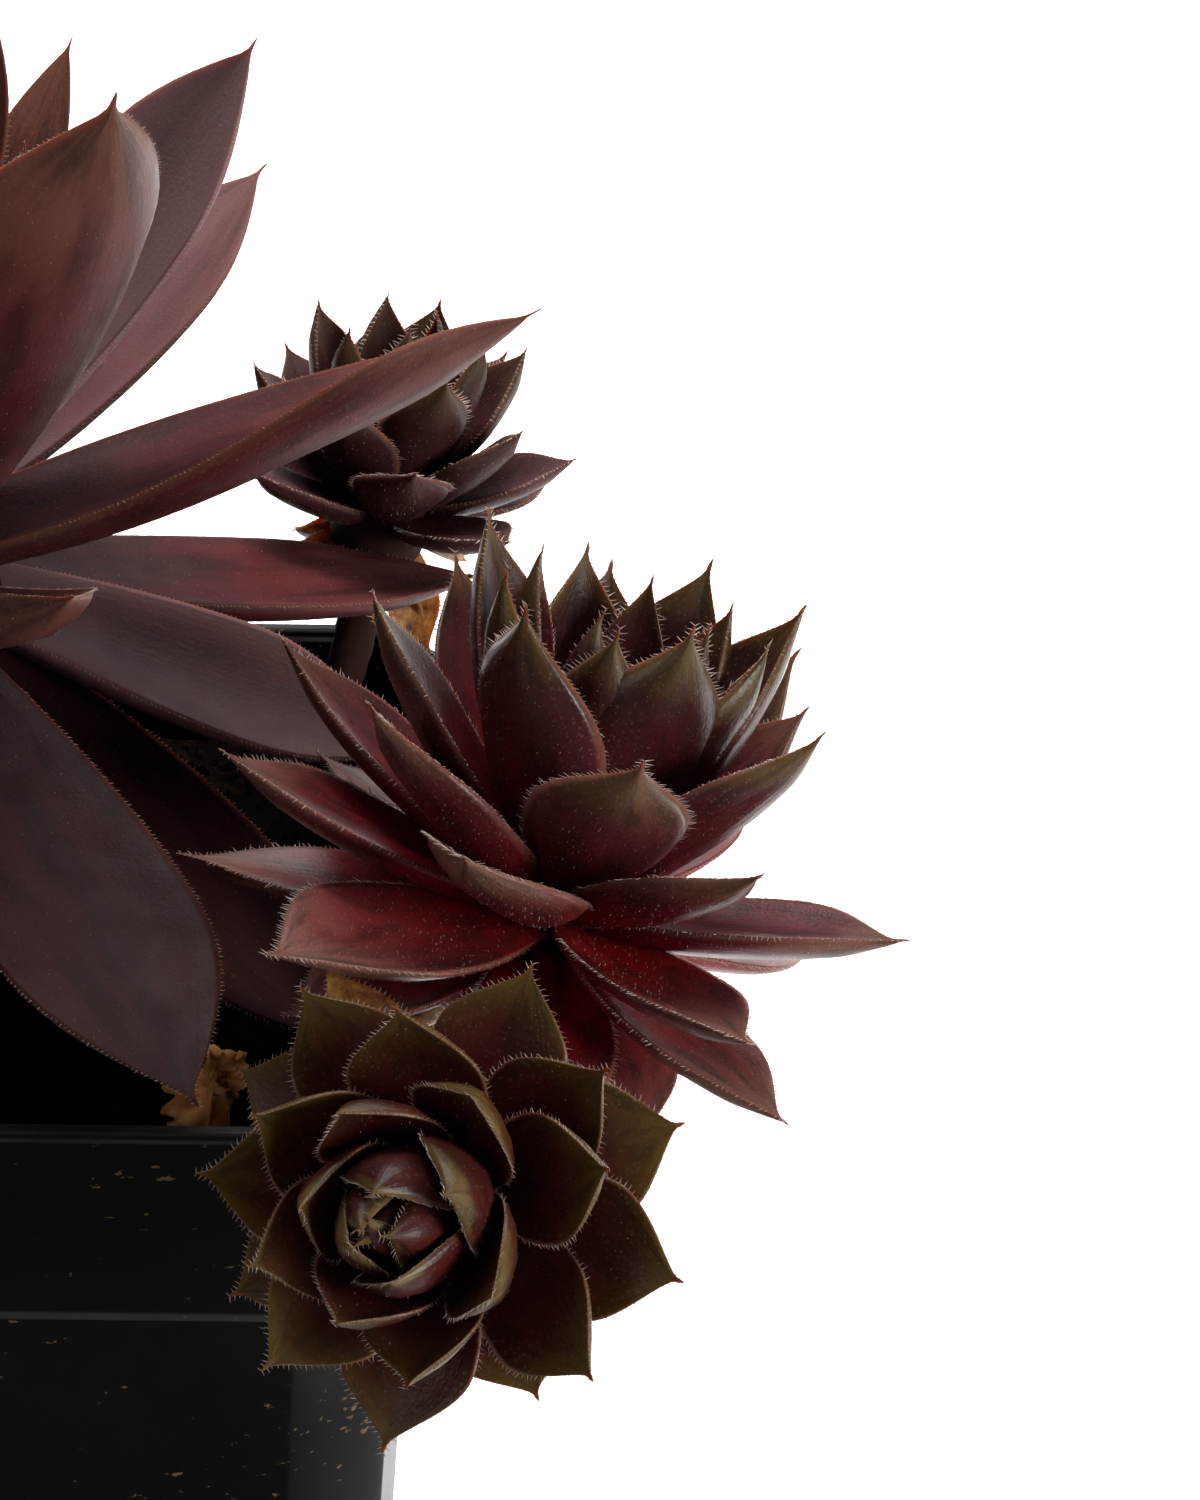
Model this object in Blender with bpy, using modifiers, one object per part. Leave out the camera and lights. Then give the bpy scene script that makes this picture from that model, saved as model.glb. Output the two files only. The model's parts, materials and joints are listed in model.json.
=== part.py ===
"""A houseleek with its offsets, growing in a square black nursery pot.

Metres, +Z up. The origin is the centre of the pot's underside, and the front of the pot faces -Y.
Each rosette is one node: its leaves stand on a crown in a golden-angle spiral, and the crown's
runner or stem goes down into a plain hole in the soil.
"""

import math
import random
from dataclasses import dataclass, field
from typing import NamedTuple

import bmesh
import bpy
from mathutils import Matrix, Vector

MM = 0.001
GOLDEN_ANGLE = math.radians(137.508)
TOUCH_GAP = 0.3 * MM

# Pot: outside widths and heights of its levels, from the foot to the lip
POT_HEIGHT = 90 * MM
POT_LIP_WIDTH = 90 * MM
POT_BAND_WIDTH = 89.4 * MM
POT_BAND_HEIGHT = 17.6 * MM
POT_STEP_IN = 1.5 * MM
POT_STEP_DROP = 0.7 * MM
POT_FOOT_WIDTH = 76 * MM
POT_FOOT_ROUND = 1.5 * MM
POT_CORNER_CUT = 8 * MM
POT_CORNER_PROFILE = 0.3
POT_WALL = 1.2 * MM
CORNER_STEPS = 4
DRAIN_RADIUS = 4 * MM
DRAIN_OFFSET = 24 * MM
DRAIN_SIDES = 16

# Soil: its top is a low mound that a formula ripples
SOIL_DEPTH_BELOW_LIP = 10 * MM
SOIL_MOUND = 4 * MM
SOIL_RIPPLE = 0.7 * MM
SOIL_WAVES = (410, 350)
SOIL_RINGS = (0.86, 0.66, 0.46, 0.26)
STEM_HOLE_DEPTH = 8 * MM
STEM_HOLE_SIDES = 12

# Leaf blade: shares of its length and its width. Pairs run from the innermost leaf to the outermost
LEAF_STATIONS = (0.0, 0.24, 0.5, 0.7, 0.86)
YOUNG_LEAF_STATIONS = (0.0, 0.45, 0.78)
YOUNG_LEAF_AGE = 0.4
LEAF_BASE_SHARE = 0.34
LEAF_TIP_POWER = 1.15
LEAF_TIP_THICKNESS = 0.4
LEAF_CUP = (0.55, 0.16)
LEAF_ROOT = (0.25, 0.8)
YOUNG_WIDTH = 0.55
YOUNG_GROWTH = 2.2
YOUNG_THINNING = 0.3
CROWN_SPREAD = 1.4
STEM_STEPS = 5

# How far one leaf may differ from its rosette's rule: degrees, and shares of its length and width
LEAN_WOBBLE = 2.5
TURN_WOBBLE = 3
CURL_WOBBLE = 4
ROLL_WOBBLE = 7
LENGTH_WOBBLE = 0.04
WIDTH_WOBBLE = 0.05


class Trim(NamedTuple):
    """What one leaf adds to its rosette's rule: degrees, and shares of its length and width."""

    turn: float = 0
    lean: float = 0
    length: float = 1
    roll: float = 0
    width: float = 1


@dataclass
class Rosette:
    """Sizes of one rosette. Angles are in degrees, and a lean is measured from the rosette's axis.

    Each pair runs from the innermost leaf to the outermost, and fallen lists the leaves that are gone.
    A leaf is widest at a share of its length, and sharpness draws its end out to a finer point.
    """

    name: str
    base: tuple
    tilt: float
    heading: float
    start: float
    hand: int
    count: int
    lean: tuple
    lean_power: float
    length: tuple
    width: tuple
    curl: tuple
    rise: float
    girth: float
    thickness: float
    foot: tuple
    stem_radius: float
    stem_bend: tuple
    seed: int
    widest_at: float = 0.56
    sharpness: float = 1.35
    fallen: tuple = ()
    trims: dict = field(default_factory=dict)


MOTHER = Rosette(
    name="rosette_mother",
    base=(-1.3 * MM, -6.8 * MM, 117.8 * MM),
    tilt=17,
    heading=-38,
    start=44,
    hand=-1,
    count=36,
    lean=(6, 135),
    lean_power=0.84,
    length=(46 * MM, 51.5 * MM),
    width=(21 * MM, 18.5 * MM),
    curl=(36, 8),
    rise=7.2 * MM,
    girth=8.5 * MM,
    thickness=3.0 * MM,
    foot=(0 * MM, 0 * MM),
    stem_radius=5.5 * MM,
    stem_bend=(-1 * MM, -2 * MM, 100 * MM),
    seed=3,
    widest_at=0.66,
    sharpness=0.95,
    fallen=(8, 16, 34),
    trims={
        0: Trim(length=0.8),
        2: Trim(width=0.75),
        3: Trim(turn=-5, lean=-6, length=1.15, width=1.5),
        5: Trim(turn=3, lean=2, width=0.8),
        10: Trim(turn=7, length=0.88, width=0.35),
        11: Trim(turn=-3, width=0.6),
        13: Trim(turn=-2, lean=-1, length=1.02, roll=-50, width=0.9),
        18: Trim(turn=9, lean=-11, length=0.96, roll=-9, width=0.65),
        21: Trim(turn=3, lean=13, length=0.82, width=0.82),
        24: Trim(turn=2, length=1.05),
        26: Trim(turn=2, lean=-3, length=1.12, roll=-20, width=0.7),
        29: Trim(turn=-3, length=0.92),
        31: Trim(length=0.85),
        32: Trim(length=0.8),
        33: Trim(length=0.72),
        35: Trim(length=0.85),
    },
)
RIGHT = Rosette(
    name="offset_right",
    base=(54.8 * MM, -26 * MM, 97 * MM),
    tilt=16.5,
    heading=21,
    start=202,
    hand=-1,
    count=45,
    lean=(12, 119),
    lean_power=1.25,
    length=(21 * MM, 28.5 * MM),
    width=(10.5 * MM, 11.5 * MM),
    curl=(46, 6),
    rise=9 * MM,
    girth=3.5 * MM,
    thickness=1.9 * MM,
    foot=(36 * MM, -9 * MM),
    stem_radius=2.0 * MM,
    stem_bend=(44 * MM, -14 * MM, 104 * MM),
    seed=11,
    fallen=(20, 33, 41, 43),
    trims={
        8: Trim(length=1.08),
        10: Trim(lean=-10, length=1.05, width=1.2),
        11: Trim(length=1.08),
        12: Trim(turn=3, lean=-10, length=1.06, width=1.1),
        13: Trim(turn=-6, lean=-9, length=1.12, width=1.2),
        15: Trim(width=1.15),
        18: Trim(turn=3, lean=-4, width=1.15),
        21: Trim(width=1.15),
        25: Trim(lean=-26, length=0.85),
        26: Trim(width=1.15),
        28: Trim(width=1.2),
        31: Trim(turn=18, length=1.05),
        32: Trim(length=0.85),
        34: Trim(length=1.1, width=1.35),
        36: Trim(turn=-4),
        37: Trim(length=0.93),
        39: Trim(turn=12, length=0.85),
        42: Trim(length=0.72, width=1.15),
        44: Trim(turn=10, lean=-3, length=0.6),
    },
)
FRONT = Rosette(
    name="offset_front",
    base=(49 * MM, -56.5 * MM, 92 * MM),
    tilt=69,
    heading=-108,
    start=143,
    hand=-1,
    count=30,
    lean=(-10, 99),
    lean_power=1.1,
    length=(15 * MM, 17 * MM),
    width=(7.5 * MM, 11 * MM),
    curl=(80, 2),
    rise=5 * MM,
    girth=3.2 * MM,
    thickness=1.7 * MM,
    foot=(34 * MM, -33 * MM),
    stem_radius=1.9 * MM,
    stem_bend=(40 * MM, -41 * MM, 107 * MM),
    seed=7,
    widest_at=0.58,
    sharpness=1.4,
    trims={
        16: Trim(turn=12, lean=10, length=1.05),
        19: Trim(turn=10, length=1.12),
        22: Trim(length=1.06),
        26: Trim(length=0.93),
        27: Trim(length=0.84),
        29: Trim(length=0.9),
    },
)
BACK = Rosette(
    name="offset_back",
    base=(38.5 * MM, 36 * MM, 105 * MM),
    tilt=10,
    heading=0,
    start=40,
    hand=-1,
    count=24,
    lean=(8, 88),
    lean_power=1.1,
    length=(15.5 * MM, 15.5 * MM),
    width=(7.5 * MM, 8.5 * MM),
    curl=(44, 10),
    rise=4.5 * MM,
    girth=3.2 * MM,
    thickness=1.7 * MM,
    foot=(32 * MM, 29 * MM),
    stem_radius=1.8 * MM,
    stem_bend=(37 * MM, 32 * MM, 96 * MM),
    seed=19,
    fallen=(22,),
)
LEFT_FRONT = Rosette(
    name="offset_left_front",
    base=(-42 * MM, -43 * MM, 97 * MM),
    tilt=30,
    heading=-125,
    start=75,
    hand=1,
    count=22,
    lean=(6, 105),
    lean_power=1.3,
    length=(13 * MM, 16 * MM),
    width=(6.5 * MM, 8.5 * MM),
    curl=(48, 8),
    rise=4 * MM,
    girth=3 * MM,
    thickness=1.6 * MM,
    foot=(-31 * MM, -33 * MM),
    stem_radius=1.7 * MM,
    stem_bend=(-36 * MM, -37 * MM, 106 * MM),
    seed=23,
)
LEFT_BACK = Rosette(
    name="offset_left_back",
    base=(-40 * MM, 34 * MM, 98 * MM),
    tilt=18,
    heading=120,
    start=10,
    hand=-1,
    count=22,
    lean=(6, 108),
    lean_power=1.3,
    length=(14 * MM, 18 * MM),
    width=(7 * MM, 8.5 * MM),
    curl=(46, 10),
    rise=4 * MM,
    girth=3 * MM,
    thickness=1.6 * MM,
    foot=(-29 * MM, 27 * MM),
    stem_radius=1.7 * MM,
    stem_bend=(-33 * MM, 30 * MM, 94 * MM),
    seed=29,
)
ROSETTES = (MOTHER, RIGHT, FRONT, BACK, LEFT_FRONT, LEFT_BACK)


class WitheredLeaf(NamedTuple):
    """A dead leaf that stands in the soil on its dry base and rolls up towards its end."""

    name: str
    foot: tuple
    heading: float
    height: float
    width: float
    coil: tuple


WITHERED_LEAVES = (
    WitheredLeaf("withered_leaf_front", (28.5 * MM, -36.7 * MM), -80, 7 * MM, 6.5 * MM, (430, 19 * MM)),
    WitheredLeaf("withered_leaf_right", (39.5 * MM, -30 * MM), 150, 7 * MM, 5.5 * MM, (50, 8 * MM)),
    WitheredLeaf("withered_leaf_left", (-16 * MM, -36 * MM), -20, 3 * MM, 6 * MM, (250, 13 * MM)),
    WitheredLeaf("withered_leaf_back", (6 * MM, 35 * MM), 60, 3 * MM, 6 * MM, (200, 12 * MM)),
)
WITHERED_THICKNESS = 0.7 * MM
WITHERED_HALF_FOOT = 0.8 * MM
WITHERED_COIL_ROWS = 10
WITHERED_COIL_POWER = 1.25
WITHERED_COLUMNS = 3
WITHERED_CRUMPLE = 0.35 * MM


def clear_scene():
    for obj in list(bpy.data.objects):
        bpy.data.objects.remove(obj, do_unlink=True)


def new_collection(name):
    collection = bpy.data.collections.new(name)
    bpy.context.scene.collection.children.link(collection)
    return collection


def plain_material(name, colour, roughness):
    material = bpy.data.materials.new(name)
    material.use_nodes = True
    shader = material.node_tree.nodes["Principled BSDF"]
    shader.inputs["Base Color"].default_value = (*colour, 1.0)
    shader.inputs["Roughness"].default_value = roughness
    return material


def add_object(name, bm, collection, material=None):
    """Turns a bmesh into an object in a collection."""
    mesh = bpy.data.meshes.new(name)
    bm.to_mesh(mesh)
    bm.free()
    if material:
        mesh.materials.append(material)
    obj = bpy.data.objects.new(name, mesh)
    collection.objects.link(obj)
    return obj


def keep_outer_skin(bm):
    """Deletes every connected group of faces but the largest: sealed hollows and loose scraps."""
    unseen = set(bm.faces)
    groups = []
    while unseen:
        group, edge_of_group = set(), [unseen.pop()]
        while edge_of_group:
            face = edge_of_group.pop()
            group.add(face)
            near = {other for edge in face.edges for other in edge.link_faces} & unseen
            unseen -= near
            edge_of_group.extend(near)
        groups.append(group)
    largest = max(groups, key=lambda group: sum(face.calc_area() for face in group))
    scraps = [face for group in groups if group is not largest for face in group]
    bmesh.ops.delete(bm, geom=scraps, context="FACES")


def applied(obj):
    """Replaces an object's mesh or curve with its evaluated mesh, welded, and returns the mesh object."""
    bpy.context.view_layer.update()
    graph = bpy.context.evaluated_depsgraph_get()
    mesh = bpy.data.meshes.new_from_object(obj.evaluated_get(graph))
    bm = bmesh.new()
    bm.from_mesh(mesh)
    bmesh.ops.remove_doubles(bm, verts=bm.verts, dist=0.001 * MM)
    keep_outer_skin(bm)
    bm.to_mesh(mesh)
    bm.free()
    name, collection = obj.name, obj.users_collection[0]
    made = bpy.data.objects.new(name, mesh)
    made.matrix_world = obj.matrix_world
    bpy.data.objects.remove(obj, do_unlink=True)
    made.name = name
    collection.objects.link(made)
    return made


def rounded_square(bm):
    """A unit square face with nearly flat corner cuts; returns its boundary edges."""
    bmesh.ops.create_grid(bm, x_segments=1, y_segments=1, size=0.5)
    bmesh.ops.bevel(
        bm,
        geom=bm.verts[:],
        offset=POT_CORNER_CUT / POT_LIP_WIDTH,
        segments=CORNER_STEPS,
        profile=POT_CORNER_PROFILE,
        affect="VERTICES",
    )
    return bm.edges[:]


def raise_ring(bm, edges, width, height_at):
    """Extrudes a ring of edges to a new width; height_at gives each point's height."""
    made = bmesh.ops.extrude_edge_only(bm, edges=edges)["geom"]
    points = [v for v in made if isinstance(v, bmesh.types.BMVert)]
    across = max(v.co.x for v in points) - min(v.co.x for v in points)
    for v in points:
        v.co.x *= width / across
        v.co.y *= width / across
        v.co.z = height_at(v.co)
    return [e for e in made if isinstance(e, bmesh.types.BMEdge)]


def start_ring(bm, width, height):
    edges = rounded_square(bm)
    for v in bm.verts:
        v.co *= width
        v.co.z = height
    return edges


def outer_width(height):
    """The pot's outside width below its band."""
    share = height / (POT_HEIGHT - POT_BAND_HEIGHT)
    top = POT_BAND_WIDTH - 2 * POT_STEP_IN
    return POT_FOOT_WIDTH + (top - POT_FOOT_WIDTH) * share


def pot_levels():
    """(width, height) of each level of the pot's outside, from the foot up."""
    band_foot = POT_HEIGHT - POT_BAND_HEIGHT
    return (
        (POT_FOOT_WIDTH, POT_FOOT_ROUND),
        (outer_width(band_foot), band_foot),
        (POT_BAND_WIDTH, band_foot + POT_STEP_DROP),
        (POT_LIP_WIDTH, POT_HEIGHT),
    )


def build_pot(collection, cutters, material):
    bm = bmesh.new()
    edges = start_ring(bm, POT_FOOT_WIDTH - 2 * POT_FOOT_ROUND, 0)
    for width, height in pot_levels():
        edges = raise_ring(bm, edges, width, lambda co, h=height: h)
    bmesh.ops.recalc_face_normals(bm, faces=bm.faces[:])
    floor = min(bm.faces, key=lambda f: f.calc_center_median().z)
    if floor.normal.z > 0:
        bmesh.ops.reverse_faces(bm, faces=bm.faces[:])
    pot = add_object("pot", bm, collection, material)
    shell = pot.modifiers.new("wall", "SOLIDIFY")
    shell.thickness = POT_WALL
    shell.offset = -1
    shell.use_even_offset = True
    for x in (-DRAIN_OFFSET, DRAIN_OFFSET):
        for y in (-DRAIN_OFFSET, DRAIN_OFFSET):
            hole = cylinder_cutter("drain", (x, y, 0), DRAIN_RADIUS, 10 * POT_WALL, DRAIN_SIDES, cutters)
            cut(pot, hole)
    return pot


def cylinder_cutter(name, place, radius, depth, sides, cutters):
    bm = bmesh.new()
    bmesh.ops.create_cone(bm, cap_ends=True, segments=sides, radius1=radius, radius2=radius, depth=depth)
    cutter = add_object(name, bm, cutters)
    cutter.location = place
    cutter.hide_render = True
    cutter.display_type = "WIRE"
    return cutter


def cut(obj, cutter):
    modifier = obj.modifiers.new(cutter.name, "BOOLEAN")
    modifier.operation = "DIFFERENCE"
    modifier.object = cutter


def soil_height(co):
    """Height of the soil's top: a mound towards the middle, rippled by a formula."""
    half = POT_LIP_WIDTH / 2
    mound = SOIL_MOUND * max(0.0, 1 - (co.x**2 + co.y**2) / half**2)
    ripple = SOIL_RIPPLE * math.sin(co.x * SOIL_WAVES[0] + 1.3) * math.cos(co.y * SOIL_WAVES[1] - 0.4)
    return POT_HEIGHT - SOIL_DEPTH_BELOW_LIP + mound + ripple


def build_soil(collection, cutters, material):
    """Fills the pot from its floor to below its lip, with a plain hole for each stem."""
    slant = math.hypot(1, (outer_width(POT_HEIGHT) - POT_FOOT_WIDTH) / 2 / POT_HEIGHT)
    inset = 2 * (POT_WALL * slant + TOUCH_GAP)
    floor = POT_WALL + TOUCH_GAP
    edge_height = POT_HEIGHT - SOIL_DEPTH_BELOW_LIP
    step_height = POT_HEIGHT - POT_BAND_HEIGHT + POT_STEP_DROP
    top_width = outer_width(step_height - 2 * POT_STEP_DROP) - inset
    bm = bmesh.new()
    edges = start_ring(bm, outer_width(floor) - inset - 2 * POT_FOOT_ROUND, floor)
    levels = (
        (outer_width(floor + POT_FOOT_ROUND) - inset, floor + 2 * POT_FOOT_ROUND),
        (top_width, step_height - 2 * POT_STEP_DROP),
        (top_width, edge_height - 2 * SOIL_RIPPLE),
    )
    for width, height in levels:
        edges = raise_ring(bm, edges, width, lambda co, h=height: h)
    for share in SOIL_RINGS:
        edges = raise_ring(bm, edges, top_width * share, soil_height)
    centre = bmesh.ops.contextual_create(bm, geom=edges)["faces"]
    bmesh.ops.poke(bm, faces=centre)
    bmesh.ops.recalc_face_normals(bm, faces=bm.faces[:])
    soil = add_object("soil", bm, collection, material)
    for rosette in ROSETTES:
        cut_stem_hole(soil, rosette.foot, rosette.stem_radius + 2 * TOUCH_GAP, cutters)
    for leaf in WITHERED_LEAVES:
        cut_stem_hole(soil, leaf.foot, WITHERED_HALF_FOOT + 2 * TOUCH_GAP, cutters)
    return soil


def stem_foot(place):
    """The lowest point of what stands in the soil at a place."""
    return Vector((*place, soil_height(Vector((*place, 0))) - STEM_HOLE_DEPTH))


def cut_stem_hole(soil, place, radius, cutters):
    top = POT_HEIGHT
    bottom = stem_foot(place).z - TOUCH_GAP
    centre = (*place, (top + bottom) / 2)
    cut(soil, cylinder_cutter("stem_hole", centre, radius, top - bottom, STEM_HOLE_SIDES, cutters))


def rosette_axes(rosette):
    """Matrix whose columns are the rosette's two level directions and its axis."""
    turn = Matrix.Rotation(math.radians(rosette.heading), 3, "Z")
    return turn @ Matrix.Rotation(math.radians(rosette.tilt), 3, "Y")


def blend(pair, share):
    return pair[0] + (pair[1] - pair[0]) * share


def leaf_sizes(rosette, index):
    """Everything that differs from leaf to leaf: 0 is the innermost, and the spiral runs outwards."""
    draw = random.Random(1000 * rosette.seed + index)
    age = index / (rosette.count - 1)
    spread = math.sqrt(age)
    trim = rosette.trims.get(index, Trim())
    lean = blend(rosette.lean, age**rosette.lean_power) + draw.uniform(-LEAN_WOBBLE, LEAN_WOBBLE) + trim.lean
    turn = math.degrees(rosette.hand * index * GOLDEN_ANGLE) + rosette.start
    turn += draw.uniform(-TURN_WOBBLE, TURN_WOBBLE) + trim.turn
    curl = blend(rosette.curl, spread) + draw.uniform(-CURL_WOBBLE, CURL_WOBBLE)
    length = blend(rosette.length, spread) * draw.uniform(1 - LENGTH_WOBBLE, 1 + LENGTH_WOBBLE)
    young = min(1.0, YOUNG_WIDTH + YOUNG_GROWTH * age)
    width = blend(rosette.width, spread) * young * draw.uniform(1 - WIDTH_WOBBLE, 1 + WIDTH_WOBBLE)
    roll = draw.uniform(-ROLL_WOBBLE, ROLL_WOBBLE) * age + trim.roll
    return {
        "age": age,
        "turn": math.radians(turn),
        "lean": math.radians(lean),
        "curl": math.radians(curl),
        "length": length * trim.length,
        "width": width * trim.width,
        "thickness": rosette.thickness * (1 - YOUNG_THINNING * (1 - young)),
        "cup": blend(LEAF_CUP, spread),
        "roll": math.radians(roll),
    }


def half_width(rosette, share):
    """Half the blade's width at a share of its length, as a share of its greatest half width."""
    if share < rosette.widest_at:
        rise = math.sin(math.pi / 2 * share / rosette.widest_at)
        return blend((LEAF_BASE_SHARE, 1), rise)
    fall = (share - rosette.widest_at) / (1 - rosette.widest_at)
    return math.cos(math.pi / 2 * fall**LEAF_TIP_POWER) ** rosette.sharpness


def blade_thickness(share):
    """Thickness at the midrib at a share of the blade's length, as a share of the greatest."""
    return blend((LEAF_TIP_THICKNESS, 1), math.cos(math.pi / 2 * share) ** 0.7)


def leaf_frame(rosette, sizes, share):
    """Point on the leaf's midline, the direction across the blade and the one up from its face."""
    axes = rosette_axes(rosette)
    radial = axes @ Vector((math.cos(sizes["turn"]), math.sin(sizes["turn"]), 0))
    axis = axes @ Vector((0, 0, 1))
    across = axis.cross(radial)
    root = Vector(rosette.base) + axis * rosette.rise * (1 - sizes["age"])
    root += radial * rosette.girth * blend(LEAF_ROOT, math.sqrt(sizes["age"]))
    start, turn = sizes["lean"] + sizes["curl"] / 2, -sizes["curl"]
    lean = start + turn * share
    forward = (math.sin(lean) - math.sin(start)) / turn
    outward = (math.cos(start) - math.cos(lean)) / turn
    point = root + (axis * forward + radial * outward) * sizes["length"]
    along = axis * math.cos(lean) + radial * math.sin(lean)
    face = axis * math.sin(lean) - radial * math.cos(lean)
    roll = Matrix.Rotation(sizes["roll"] * share, 3, along)
    return point, roll @ across, roll @ face


def add_leaf(rosette, index, collection):
    """One closed blade: a channelled upper face and a keeled back, lofted between unlike sections."""
    sizes = leaf_sizes(rosette, index)
    bm = bmesh.new()
    rings = []
    stations = YOUNG_LEAF_STATIONS if sizes["age"] < YOUNG_LEAF_AGE else LEAF_STATIONS
    for share in stations:
        point, across, face = leaf_frame(rosette, sizes, share)
        half = half_width(rosette, share) * sizes["width"] / 2
        thick = blade_thickness(share) * sizes["thickness"]
        lift = sizes["cup"] * half
        section = ((-half, lift), (0, 0), (half, lift), (0, -thick))
        rings.append([bm.verts.new(point + across * x + face * z) for x, z in section])
    tip = bm.verts.new(leaf_frame(rosette, sizes, 1.0)[0])
    margins, ribs = (0, 2), (1, 3)
    for margin in margins:
        bm.faces.new((rings[0][margin], rings[0][1], rings[0][3]))
        for rib in ribs:
            for lower, upper in zip(rings, rings[1:]):
                bm.faces.new((lower[margin], lower[rib], upper[rib]))
                bm.faces.new((lower[margin], upper[rib], upper[margin]))
            bm.faces.new((rings[-1][margin], rings[-1][rib], tip))
    bmesh.ops.recalc_face_normals(bm, faces=bm.faces[:])
    return add_object(f"{rosette.name}_leaf", bm, collection)


def add_crown(rosette, collection, material):
    """The short fleshy stem end that every leaf of the rosette is rooted in."""
    bm = bmesh.new()
    bmesh.ops.create_uvsphere(bm, u_segments=10, v_segments=6, radius=1)
    crown = add_object(rosette.name, bm, collection, material)
    girth = rosette.girth * CROWN_SPREAD
    size = (girth, girth, rosette.rise * CROWN_SPREAD)
    place = Matrix.Translation(rosette.base) @ rosette_axes(rosette).to_4x4()
    crown.data.transform(place @ Matrix.Diagonal((*size, 1)))
    return crown


def add_stem(rosette, collection):
    """Runner from the rosette's hole in the soil to its crown, on one smooth curve."""
    curve = bpy.data.curves.new(f"{rosette.name}_stem", "CURVE")
    curve.dimensions = "3D"
    curve.bevel_depth = rosette.stem_radius
    curve.bevel_resolution = 2
    curve.use_fill_caps = True
    spline = curve.splines.new("POLY")
    foot, bend, crown = stem_foot(rosette.foot), Vector(rosette.stem_bend), Vector(rosette.base)
    above = Vector((foot.x, foot.y, soil_height(foot) + rosette.stem_radius))
    shares = [(step + 1) / STEM_STEPS for step in range(STEM_STEPS)]
    route = [foot, above] + [bezier_point(above, bend, crown, share) for share in shares]
    spline.points.add(len(route) - 1)
    for point, place in zip(spline.points, route):
        point.co = (*place, 1)
    stem = bpy.data.objects.new(curve.name, curve)
    collection.objects.link(stem)
    return applied(stem)


def bezier_point(start, bend, end, share):
    return start * (1 - share) ** 2 + bend * 2 * share * (1 - share) + end * share**2


def build_rosette(rosette, collection, material):
    """Joins the crown, its runner and all its leaves in one body."""
    parts = new_collection(f"{rosette.name}_parts")
    crown = add_crown(rosette, collection, material)
    add_stem(rosette, parts)
    for index in range(rosette.count):
        if index not in rosette.fallen:
            add_leaf(rosette, index, parts)
    union = crown.modifiers.new("union", "BOOLEAN")
    union.operation = "UNION"
    union.operand_type = "COLLECTION"
    union.collection = parts
    union.solver = "EXACT"
    joined = applied(crown)
    joined.data.materials.clear()
    joined.data.materials.append(material)
    for part in list(parts.objects):
        bpy.data.objects.remove(part, do_unlink=True)
    bpy.data.collections.remove(parts)
    return joined


def withered_spine(leaf):
    """Points up the leaf's middle in its own upright plane, with the slope at each: (out, up, slope)."""
    coil, coiled_length = math.radians(leaf.coil[0]), leaf.coil[1]
    collar = STEM_HOLE_DEPTH + WITHERED_HALF_FOOT
    points = [(0.0, 0.0, 0.0), (0.0, collar, 0.0), (0.0, collar + leaf.height, 0.0)]
    step = coiled_length / WITHERED_COIL_ROWS
    for row in range(1, WITHERED_COIL_ROWS + 1):
        out, up, _ = points[-1]
        slope = coil * ((row - 0.5) / WITHERED_COIL_ROWS) ** WITHERED_COIL_POWER
        points.append((out + step * math.sin(slope), up + step * math.cos(slope), slope))
    return points


def build_withered_leaf(leaf, collection, material):
    """A crumpled sheet along the spine, thickened to both sides, narrow where it stands in the soil."""
    spine = withered_spine(leaf)
    last = len(spine) - 1
    bm = bmesh.new()
    bmesh.ops.create_grid(bm, x_segments=WITHERED_COLUMNS, y_segments=last, size=1)
    foot = stem_foot(leaf.foot)
    turn = Matrix.Rotation(math.radians(leaf.heading), 3, "Z")
    for v in bm.verts:
        side, row = v.co.x, round((v.co.y + 1) / 2 * last)
        out, up, slope = spine[row]
        half, crumple = WITHERED_HALF_FOOT, 0
        if row > 1:
            half += (leaf.width / 2 - half) * math.sin(math.pi * (row - 1) / last)
            crumple = WITHERED_CRUMPLE * math.sin(3 * side + 4 * row)
        out += math.cos(slope) * crumple
        up -= math.sin(slope) * crumple
        v.co = foot + turn @ Vector((out, side * half, up))
    withered = add_object(leaf.name, bm, collection, material)
    sheet = withered.modifiers.new("sheet", "SOLIDIFY")
    sheet.thickness = WITHERED_THICKNESS
    sheet.offset = 0
    return withered


def main():
    clear_scene()
    model = new_collection("potted_houseleek")
    cutters = new_collection("cutters")
    black_plastic = plain_material("black_plastic", (0.01, 0.01, 0.01), 0.45)
    potting_soil = plain_material("potting_soil", (0.02, 0.014, 0.01), 0.95)
    maroon_leaf = plain_material("maroon_leaf", (0.09, 0.02, 0.02), 0.5)
    dry_leaf = plain_material("dry_leaf", (0.2, 0.08, 0.02), 0.8)
    build_pot(model, cutters, black_plastic)
    build_soil(model, cutters, potting_soil)
    for rosette in ROSETTES:
        build_rosette(rosette, model, maroon_leaf)
    for leaf in WITHERED_LEAVES:
        build_withered_leaf(leaf, model, dry_leaf)


main()
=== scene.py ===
"""Looks of a potted houseleek on its solids' frame: leaves, hairs, pot, soil and light.

Metres, +Z up, as in the frame. The leaves follow the same golden-angle rule as the solids that they
stand for, so the sizes of each rosette here are those of its solid.
"""

import json
import math
import random
from dataclasses import dataclass, field
from typing import NamedTuple

import bmesh
import bpy
from bpy.props import FloatProperty, FloatVectorProperty, IntProperty, PointerProperty
from mathutils import Matrix, Vector, noise

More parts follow.
